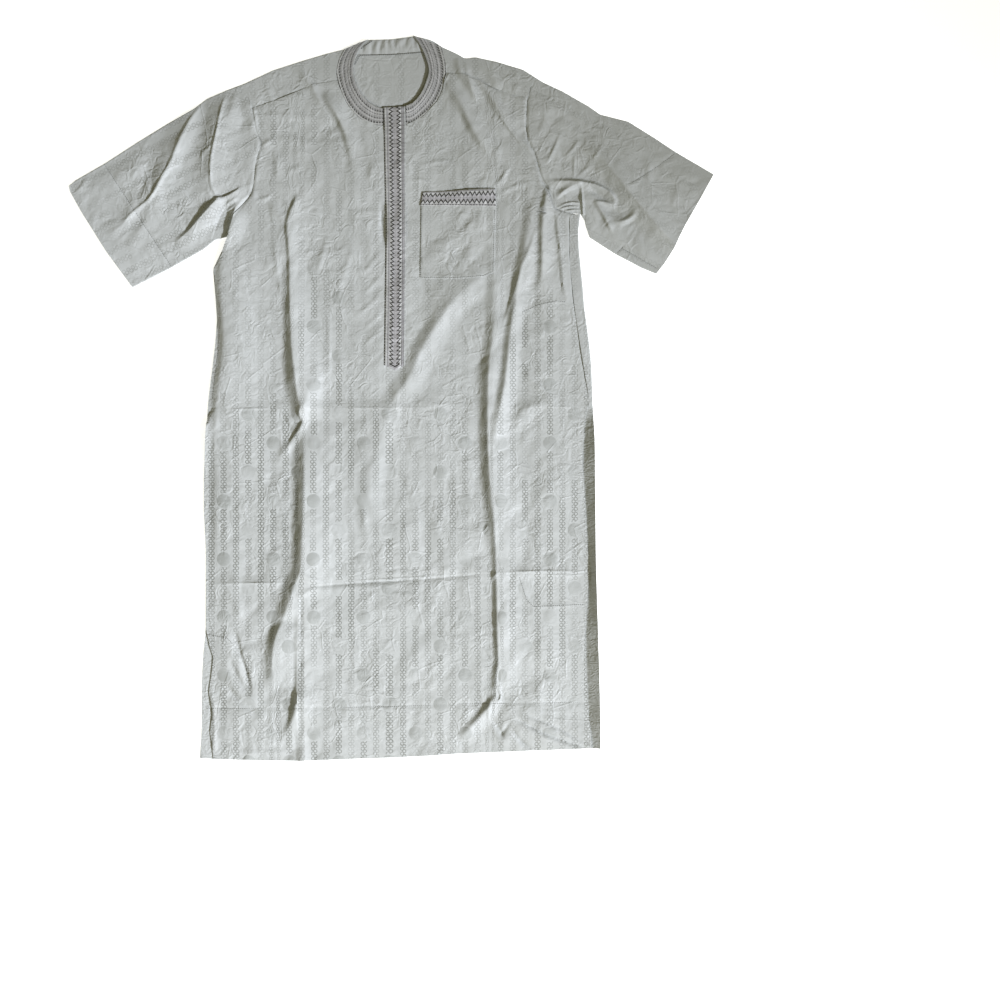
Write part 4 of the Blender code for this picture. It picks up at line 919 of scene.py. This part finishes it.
def sleeve(name, node, edges, folds, seed, axis, figure):
    """A flattened tube, and the grid of its face. Its edges are the underside, top, armhole and cuff. Round
    it, v goes up the face from the underside fold to the top fold and back down the floor side; near each
    fold the face is half an ellipse down to the middle height. The axis is the way from armhole to cuff."""
    u = spaced(0, 1, 0.0085, [(0.08, 0.18, 0.0052)])
    face = spaced(0, 1, 0.0085, [(0, 0.03, 0.004), (1, 0.03, 0.004), (0.3, 0.25, 0.0064)])
    v = np.concatenate([face, np.linspace(1, 0, 13)[1:]])
    over = (np.arange(v.size) < face.size)[:, None]
    xy = patch(*edges, u, v)
    x, y = xy[..., 0], xy[..., 1]
    edge = np.minimum(v, 1 - v) * SLEEVE_WIDE
    bulge = np.sqrt(1 - (1 - np.minimum(edge / FOLD_ROUND, 1)) ** 2)[:, None]
    inside = np.minimum(edge[:, None], np.minimum(u, 1 - u)[None] * SLEEVE_LONG)
    high = LAYER + CLOTH + ease(inside, 0, SLEEVE_EDGE) + relief(x, y, folds + SEAMS)
    high = np.maximum(high + crumple(x, y, seed) * ease(edge[:, None], 0, SLEEVE_EDGE), LAYER + CLOTH * 0.8)
    z = np.where(over, MIDDLE + (high - MIDDLE) * bulge, MIDDLE - MIDDLE * bulge)
    step = 3
    near = lowest(np.where(over, z, 99), step) - CLOTH
    inner = np.where(over[::step], np.maximum(near, MIDDLE + 0.1), CLOTH)
    inner[0] = inner[-1] = MIDDLE
    keep = np.clip(v[::step], CLOTH / SLEEVE_WIDE, 1 - CLOTH / SLEEVE_WIDE)
    inner_xy = patch(*edges, u[::step], keep)
    way = np.array(axis) / np.hypot(*axis)
    uv = np.dstack([x * way[1] - y * way[0], x * way[0] + y * way[1]])
    made = wall(name, [(np.dstack([xy, z]), np.dstack([inner_xy, inner]), uv, step, True)], damask, node,
                (figure, 0.0, 1.0))
    return made, xy[:face.size], z[:face.size]


left_edges = (LEFT_UNDERSIDE[::-1], LEFT_SLEEVE_TOP,
              LEFT_ARMHOLE[::-1] + LEFT_SHOULDER[-1:], LEFT_CUFF[::-1])
right_edges = (RIGHT_ARMHOLE[2:0:-1] + RIGHT_UNDERSIDE, RIGHT_SLEEVE_TOP[::-1],
               RIGHT_ARMHOLE[2:] + RIGHT_ARMHOLE_TOP[1:], RIGHT_CUFF)
sleeve_left, left_xy, left_z = sleeve("sleeve_left_cloth", "sleeve_left", left_edges,
                                      LEFT_SLEEVE_FOLDS, 51, LEFT_AXIS, 0.5)
sleeve_right, right_xy, right_z = sleeve("sleeve_right_cloth", "sleeve_right", right_edges,
                                         RIGHT_SLEEVE_FOLDS, 61, RIGHT_AXIS, 0.25)

# ---------------------------------------------------------------------------------------------------
# Collar: a stiffened standing band, covered with close rows of machine embroidery in charcoal and silver
# rayon on grey cotton. Its two arms lie forward over the neck seam; behind the neck it stands open and
# shows its plain inner side, drawn in by its stitching.
COLLAR_LEFT_EDGE = [(-12.8, 441), (-25, 445), (-42, 459), (-51, 474), (-57.5, 496), (-56, 510), (-46, 534),
                    (-35, 545)]
COLLAR_RIGHT_EDGE = [(33, 550.5), (42, 538), (52, 517), (56.5, 499), (52, 480), (40, 457), (30, 448),
                     (22.6, 445)]
COLLAR_BACK_EDGE = [(33, 550.5), (15, 548), (0, 546), (-35, 545)]
COLLAR_LEFT_FOLD = [(-35, 545), (-48, 541), (-60, 536), (-72, 531)]
COLLAR_RIGHT_FOLD = [(76, 535), (64, 543), (50, 547), (33, 550.5)]
# Thickness of the stiffened band, height of its face beside the seam, and size of an arm as it lies.
COLLAR_CLOTH = 1.6
COLLAR_LIES = 3.3
COLLAR_WIDE = 27.0
ARM_LONG = 150
# Thread: its colours and how its tone varies, how high a row of it lies and how it wanders along the row.
STITCH_DARK = "#424140"
STITCH_LIGHT = "#bfc0bf"
BEAD_COLOUR = "#a9aaa9"
FOOT_COLOUR = "#8a898b"
THREAD_TONES = (0.74, 1.22)
THREAD_LIES = 0.35
STITCH_WANDER = 3.0
# Chain of beads, coarser than real so that it shows: their step, the gap on each side of a bead as a
# share of the step, and how much of the row's colour a bead covers.
BEAD = 4.4
BEAD_GAP = 0.30
BEAD_SHARE = 0.9
# Zigzag: its step, swing across, width of line and height, and the light band on its outer side, whose
# place and reach are shares of the swing. Then the step of the satin stitch and how steep its threads are.
ZIGZAG_STEP = 6.1
SWING = 5.3
STROKE = 3.0
ZIGZAG_HIGH = 0.3
LIGHT_AT, LIGHT_REACH = 0.32, 0.40
SATIN_STEP = 0.9
SATIN_SLOPE = 0.35
# Rows across a band: share of the width where each starts, colour, and 1 where the row is beaded.
# The last row, at the free edge, is painted darker than its thread: painted shade on the arm's lit edge.
COLLAR_ROWS = [(0.0, "#6e6e6b", 1), (0.05, "#c0c1bf", 0), (0.115, "#424240", 1), (0.165, "#6a6a68", 1),
               (0.215, "#9d9d9c", 0), (0.275, "#b6b6b6", 0), (0.365, "#666665", 1), (0.43, "#a4a4a4", 1),
               (0.52, "#b6b6b6", 0), (0.575, "#7b7b7b", 1), (0.635, "#b7b7b6", 0), (0.73, "#484846", 1),
               (0.795, "#949494", 1), (0.86, "#adadad", 0), (0.925, "#a6a8a5", 0)]


def embroidered(name, rows, wide, zigzags=(), period=ZIGZAG_STEP, foot=0.0):
    """Cotton covered in embroidery. The uv's x is the share of the band's width, its y the way along in
    mm. Rows are flat bands of thread, some beaded; zigzags are (share of the width, side of the first
    point). At a foot they end in a bar across, at that distance from the end, with a grey line half way."""
    made = Finish(name)
    where, share, way = made.place()
    wander = made.cloud(made.put("ShaderNodeCombineXYZ", 0.0, way), 0.13)
    way = made.do("MULTIPLY_ADD", made.do("ADD", wander, -0.5), STITCH_WANDER, way)
    row_colour = made.put("ShaderNodeValToRGB", share)
    ramp = row_colour.node.color_ramp
    ramp.interpolation = "CONSTANT"
    while len(ramp.elements) < len(rows):
        ramp.elements.new(1.0)
    for element, (at, code, beaded) in zip(ramp.elements, rows):
        element.position = at
        element.color = (*linear(code)[:3], beaded)
    bead = made.do("GREATER_THAN", made.do("PINGPONG", way, BEAD / 2), BEAD * BEAD_GAP)
    bead = made.do("MULTIPLY", made.do("MULTIPLY", bead, row_colour.node.outputs[1]), BEAD_SHARE)
    colour = made.mix(bead, row_colour, linear(BEAD_COLOUR))
    lie = made.do("MULTIPLY", made.do("PINGPONG", way, SATIN_STEP / 2), SATIN_SLOPE)
    if zigzags:
        turn = made.do("PINGPONG", way, period / 2)
        swing = SWING / wide
        thread = []
        for at, side in zigzags:
            centre = made.do("MULTIPLY_ADD", turn, side * swing / (period / 2), at - side * swing / 2)
            thread.append(made.do("COMPARE", share, centre, STROKE / wide / 2))
            outer = 1 if at > 0.5 else -1
            light_band = made.do("COMPARE", share, at + outer * swing * LIGHT_AT, swing * LIGHT_REACH)
            colour = made.mix(light_band, colour, linear(STITCH_LIGHT))
        line = made.do("MAXIMUM", *thread)
        if foot:
            line = made.do("MULTIPLY", line, made.do("GREATER_THAN", way, foot + 1.5))
            bar, hem = [made.do("MULTIPLY", made.do("COMPARE", way, at, thick),
                                made.do("COMPARE", share, 0.5, reach))
                        for at, thick, reach in ((foot, 1.3, 0.24), (foot / 2, 0.8, 0.36))]
            line = made.do("MAXIMUM", line, bar)
            colour = made.mix(hem, colour, linear(FOOT_COLOUR))
        colour = made.mix(line, colour, linear(STITCH_DARK))
        lie = made.do("MULTIPLY_ADD", line, ZIGZAG_HIGH, lie)
    tone = made.spread(made.cloud(where, 0.4, 2.0), 0.3, 0.7, *THREAD_TONES)
    made.shade({"Base Color": made.vector("MULTIPLY", colour, tone), "Roughness": 0.48, "Sheen Weight": 0.1})
    made.raise_by(lie, 0.8)
    return made


def rows_lie(share, rows):
    """Relief of the rows in mm: each row of thread is a low cushion, sin(pi t) across it."""
    starts = np.array([r[0] for r in rows] + [1.0])
    k = np.clip(np.searchsorted(starts, share, side="right") - 1, 0, len(rows) - 1)
    t = (share - starts[k]) / (starts[k + 1] - starts[k])
    return THREAD_LIES * np.sin(np.pi * np.clip(t, 0, 1))


def curved(line, gap=3.0):
    """A smooth line through the points: between two a cubic whose end slopes follow their neighbours."""
    line = np.array(line, float)
    run = np.concatenate([[0], np.cumsum(np.hypot(*np.diff(line, axis=0).T))])
    slope = np.gradient(line, run, axis=0)
    t = np.linspace(0, run[-1], round(run[-1] / gap) + 1)
    k = np.clip(np.searchsorted(run, t, side="right") - 1, 0, len(line) - 2)
    span = (run[k + 1] - run[k])[:, None]
    q = ((t - run[k])[:, None]) / span
    return ((1 + 2 * q) * (1 - q) ** 2 * line[k] + q * (1 - q) ** 2 * span * slope[k]
            + q * q * (3 - 2 * q) * line[k + 1] + q * q * (q - 1) * span * slope[k + 1])


def collar_arm(outer, free, rise, seed):
    """One arm of the collar: ruled from the neck seam to the free edge, which stands up by the rise."""
    u, v = spaced(0, 1, 0.007), spaced(0, 1, 0.018)
    outer, free = curved(outer), curved(free)
    xy = patch(outer, free, [outer[0], free[0]], [outer[-1], free[-1]], u, v)
    z = COLLAR_LIES + (rise * ease(v, 0.1, 1.0) + rows_lie(v, COLLAR_ROWS))[:, None]
    z = z - 1 + ease(np.minimum(v, 1 - v)[:, None], 0, 0.05) + 0.5 * noise(xy[..., 0], xy[..., 1], 16, seed)
    uv = np.dstack([v[:, None] * np.ones(u.size), u[None] * np.ones(v.size)[:, None] * ARM_LONG])
    return leaf(xy, z, uv, 1.9, thick=COLLAR_CLOTH)


collar_cotton = embroidered("embroidered_collar", COLLAR_ROWS, COLLAR_WIDE)
left_seam = [(-12.8, 415.3)] + LEFT_NECK + LEFT_NECK_TOP[1:]
right_seam = [(22.6, 416.2)] + RIGHT_NECK[::-1] + RIGHT_NECK_TOP[-2::-1]
collar = wall("collar_band", [
    collar_arm(left_seam, COLLAR_LEFT_EDGE, 1.9, 71),
    collar_arm(right_seam, COLLAR_RIGHT_EDGE[::-1], 3.6, 72),
], collar_cotton, "collar")

# The back of the collar, puckered along its length by the stitching.
PUCKER_STEP = 12.5
strip_u, strip_v = spaced(0, 1, 0.009), spaced(0, 1, 0.05)
strip_xy = patch(BACK_NECK[::-1], COLLAR_BACK_EDGE[::-1], COLLAR_LEFT_FOLD[::-1], COLLAR_RIGHT_FOLD,
                 strip_u, strip_v)
sx, sy = strip_xy[..., 0], strip_xy[..., 1]
pucker = np.sin(2 * np.pi * (sx + 8 * noise(sx, sy * 0.6, 24, 5)) / PUCKER_STEP)
pucker = pucker * (0.6 + noise(sx, sy, 30, 6)) + 0.5 * noise(sx, sy * 0.3, 5, 7)
strip_z = COLLAR_CLOTH + 0.2 + (1.5 * pucker + 1.6) * np.sin(np.pi * np.clip(strip_v, 0, 1))[:, None] ** 0.7
strip_z = strip_z + 0.5 * ease(strip_v, 0.5, 1)[:, None]
collar_back = wall("collar_back", [leaf(strip_xy, strip_z, strip_xy, 0.0, thick=COLLAR_CLOTH)], damask,
                   state=(0.0, 0.0, 0.5))

# ---------------------------------------------------------------------------------------------------
# Placket: a strip over the front slit, pointed at its foot, with a zigzag of charcoal rayon down each
# side of a grey satin-stitched ground and a row of beads of thread along its left edge, painted dark as
# the shadow along that edge.
PLACKET_WIDE = 34.0
PLACKET_LONG = 395.0
# The gape of the strip, whose left edge stays down: how high, from where and over how long a stretch.
PLACKET_GAPE, GAPE_FROM, GAPE_LONG = 3.4, 175, 80
# Lowest height of the underside of what lies on the front.
ON_FRONT = 2.9
# The first row, the beads, is painted dark as the shadow along the strip's left edge; the last row is
# painted darker than its thread, as shade on the lit right edge.
PLACKET_ROWS = [(0.0, "#4c4b4b", 1), (0.05, "#b9bab9", 0), (0.135, "#8b8b8b", 0), (0.185, "#acabad", 0),
                (0.47, "#9b9a9c", 1), (0.51, "#acabad", 0), (0.81, "#7e7e7f", 0), (0.855, "#a09fa1", 0),
                (0.895, "#7e7e7f", 0), (0.935, "#a2a4a1", 0)]
# Each zigzag: its place as a share of the width, and the side of its first point.
PLACKET_ZIGZAGS = [(0.345, 1), (0.69, -1)]
PLACKET_FOOT = [(-10.8, 51), (5.9, 43), (21.1, 51)]
PLACKET_LEFT = [(-10.8, 51), (-9.6, 150), (-8.4, 257), (-10, 350), (-12.3, 442)]
PLACKET_RIGHT = [(21.1, 51), (22, 150), (22.4, 257), (22, 350), (21.8, 444)]
placket_cotton = embroidered("embroidered_placket", PLACKET_ROWS, PLACKET_WIDE, PLACKET_ZIGZAGS, foot=5.5)


def zigzag_lie(share, way, wide, zigzags, period=ZIGZAG_STEP):
    """Relief of zigzag lines in mm: thread as a half round over the stroke's width."""
    turn = np.abs((way / period + 0.5) % 1 - 0.5) * 2 - 0.5
    lie = [np.clip(1 - ((share - at) * wide - side * SWING * turn) ** 2 / (STROKE / 2) ** 2, 0, 1)
           for at, side in zigzags]
    return THREAD_LIES * np.sqrt(np.maximum.reduce(lie))


u, v = spaced(0, 1, 0.025), spaced(0, 1, 0.0024)
xy = patch(PLACKET_FOOT, [PLACKET_LEFT[-1], PLACKET_RIGHT[-1]], PLACKET_LEFT, PLACKET_RIGHT, u, v)
share, way = u[None] + 0 * xy[..., 0], v[:, None] * PLACKET_LONG + 0 * xy[..., 0]
edge = np.minimum(np.minimum(share, 1 - share) * PLACKET_WIDE, np.minimum(way, PLACKET_LONG - way))
gape = PLACKET_GAPE * np.sin(np.pi * np.clip((way - GAPE_FROM) / GAPE_LONG, 0, 1))
gape = gape * ease(share * PLACKET_WIDE, -0.5, 4)
z = front_face(xy[..., 0], xy[..., 1]) + 0.4 + CLOTH - 1.2 * (1 - ease(edge, -1, 3)) + gape
z = z + rows_lie(share, PLACKET_ROWS) + zigzag_lie(share, way, PLACKET_WIDE, PLACKET_ZIGZAGS)
placket = wall("placket_strip", [leaf(xy, z, np.dstack([share, way]), ON_FRONT)], placket_cotton, "placket")

# ---------------------------------------------------------------------------------------------------
# Chest pocket: a damask patch edge-stitched on three sides, with an embroidered band along its mouth,
# which gapes a little.
POCKET_FOOT = [(42.6, 182), (100, 181), (140, 184), (156, 191)]
POCKET_MOUTH = [(48, 314), (100, 316), (157.8, 319)]
POCKET_LEFT = [(42.6, 182), (44, 292), (48, 314)]
POCKET_RIGHT = [(156, 191), (158.8, 290), (157.8, 319)]
POCKET_WIDE, POCKET_TALL, POCKET_GAPE = 115.0, 134.0, 3.0
BAND_LEFT, BAND_RIGHT = [(44.1, 292.5), (47.8, 313)], [(158.7, 291), (157.9, 318)]
BAND_WIDE, BAND_LONG, BAND_PERIOD, BAND_CLOTH = 24.0, 112.0, 6.7, 0.6
BAND_ROWS = [(0.0, "#b3b3b3", 0), (0.06, "#8e8d90", 0), (0.12, "#adacae", 0), (0.46, "#a3a2a5", 0),
             (0.52, "#adacae", 0), (0.88, "#6a696b", 1), (0.95, "#b3b4b2", 0)]
BAND_ZIGZAGS = [(0.26, 1), (0.70, -1)]


def pocket_face(x, y):
    """Height of the pocket's face: the front's, a wall of cloth and the gape of its mouth."""
    gape = POCKET_GAPE * np.sin(np.pi * ease(x, 75, 170)) * ease(y, 285, 320)
    return front_face(x, y) + 0.3 + CLOTH + gape


u, v = spaced(0, 1, 0.016), spaced(0, 1, 0.014)
xy = patch(POCKET_FOOT, POCKET_MOUTH, POCKET_LEFT, POCKET_RIGHT, u, v)
px, py = xy[..., 0], xy[..., 1]
edge = np.minimum((1 - u)[None] * POCKET_WIDE, np.minimum(v, 1 - v)[:, None] * POCKET_TALL)
z = pocket_face(px, py) - 0.9 * (1 - ease(edge, -1, 4)) - 1.6 * (1 - ease(u[None] * POCKET_WIDE, -1, 3.6))
pocket = wall("pocket_patch", [leaf(xy, z, np.dstack([grain(px, py), py]), ON_FRONT)], damask,
              "chest_pocket", (0.3, 0.0, 1.0))

band_cotton = embroidered("embroidered_band", BAND_ROWS, BAND_WIDE, BAND_ZIGZAGS, BAND_PERIOD)
u, v = spaced(0, 1, 0.0085), spaced(0, 1, 0.03)
xy = patch([BAND_LEFT[0], (100, 292), BAND_RIGHT[0]], [BAND_LEFT[1], (100, 315), BAND_RIGHT[1]],
           BAND_LEFT, BAND_RIGHT, u, v)
share, way = 1 - v[:, None] + 0 * xy[..., 0], u[None] * BAND_LONG + 0 * xy[..., 0]
edge = np.minimum(np.minimum(share, 1 - share) * BAND_WIDE, np.minimum(way, BAND_LONG - way))
z = pocket_face(xy[..., 0], xy[..., 1]) + 0.7 - 0.5 * (1 - ease(edge, 0, 1.5))
z = z + rows_lie(share, BAND_ROWS) + zigzag_lie(share, way, BAND_WIDE, BAND_ZIGZAGS, BAND_PERIOD)
band = wall("pocket_band", [leaf(xy, z, np.dstack([share, way]), ON_FRONT, thick=BAND_CLOTH)], band_cotton)

# ---------------------------------------------------------------------------------------------------
# Stitching: grey polyester thread, 3 mm lockstitch, on the pocket's edge, the hem and its side facings,
# the cuff hems and the outline of the side pocket. A charcoal cord of stitches along the neck seam and
# the left collar arm's top edge is painted shadow, for the dark gap where the collar stands off the back.
STITCH_STEP = 3.2
STITCH_LONG = 2.8
STITCH_WIDE, SHADOW_CORD_WIDE = 0.8, 1.8

grey_thread, shadow_cord_paint = Finish("polyester_thread"), Finish("shadow_cord_paint")
grey_thread.shade({"Base Color": linear("#5f615d"), "Roughness": 0.55})
# The charcoal cord's colour is painted shadow.
shadow_cord_paint.shade({"Base Color": linear("#353430"), "Roughness": 0.6})


def stitches(name, lines, face, finish, wide=STITCH_WIDE):
    """Stitches in a row along each line: pointed beads of six corners, laid on the face by its height."""
    corners = np.array([(-STITCH_LONG / 2, 0, 0), (STITCH_LONG / 2, 0, 0), (0, -wide / 2, 0),
                        (0, wide / 2, 0), (0, 0, -wide / 3), (0, 0, wide / 3)])
    sides = np.array([(1, 3, 5), (3, 0, 5), (0, 2, 5), (2, 1, 5),
                      (3, 1, 4), (0, 3, 4), (2, 0, 4), (1, 2, 4)])
    points, faces, base = [], [], 0
    for line in lines:
        long = np.hypot(*np.diff(np.array(line, float), axis=0).T).sum()
        count = max(2, round(long / STITCH_STEP))
        share = (np.arange(count) + 0.5) / count
        middle = along(line, share)
        way = along(line, np.minimum(share + 0.004, 1)) - along(line, np.maximum(share - 0.004, 0))
        way /= np.hypot(*way.T)[:, None]
        aside = np.stack([-way[:, 1], way[:, 0]], axis=1)
        spot = middle[:, None] + corners[:, :1] * way[:, None] + corners[:, 1:2] * aside[:, None]
        high = face(spot[..., 0], spot[..., 1]) + corners[:, 2] + wide * 0.3
        points.append(np.dstack([spot, high]).reshape(-1, 3))
        faces += (sides + len(corners) * np.arange(count)[:, None, None] + base).reshape(-1, 3).tolist()
        base += len(corners) * count
    made = mesh_object(name, np.concatenate(points), faces, finish)
    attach(made, "root")
    return made


def on_grid(xy, z):
    """The height of a grid's face as a function: the mean of its four nearest points by 1/distance^2."""
    flat, high = xy.reshape(-1, 2), z.ravel()

    def face(x, y):
        away = (x.ravel()[:, None] - flat[None, :, 0]) ** 2 + (y.ravel()[:, None] - flat[None, :, 1]) ** 2
        best = np.argpartition(away, 4, axis=1)[:, :4]
        weight = 1 / (np.take_along_axis(away, best, axis=1) + 0.01)
        return ((high[best] * weight).sum(axis=1) / weight.sum(axis=1)).reshape(x.shape)
    return face


front_thread = stitches("front_stitching", [
    [(-281, -470), (0, -467), (120, -462), (297, -461)],
    [(-280, -357), (-265, -360), (-248, -363), (-240, -372)],
    [(198, 131), (222, 142), (250, 148), (264, 147)],
    [(194, -270), (205, -304), (215, -315), (292, -312)],
    [(-261, 150), (-259, 120), (-262, 80), (-267, 40), (-271, 0)],
], front_face, grey_thread)
pocket_thread = stitches("pocket_stitching", [
    [(46, 288), (44.6, 184), (100, 183), (139, 185.6), (154.4, 192.6), (156.6, 286)],
], pocket_face, grey_thread)
left_cuff_thread = stitches("left_cuff_stitching", [[(-436, 357), (-385, 279), (-334, 201)]],
                            on_grid(left_xy, left_z), grey_thread)
right_cuff_thread = stitches("right_cuff_stitching", [
    [(430, 372), (398, 348), (363, 325)], [(352, 231), (343, 222)], [(349, 229), (375, 214), (402, 199)],
], on_grid(right_xy, right_z), grey_thread)
# Painted shadow: charcoal beads laid in the gap under the collar's back and beside its left arm's edge.
neck_shadow_cord = stitches("neck_shadow_cord", [
    [(-56, 507), (-48, 521.5), (0, 522.4), (49, 526.2), (56, 528.5)],
    [(-46, 531), (-29, 543.5)],
], lambda x, y: CLOTH + COLLAR_CLOTH + 1.2 * ease(y, 528, 534), shadow_cord_paint, SHADOW_CORD_WIDE)
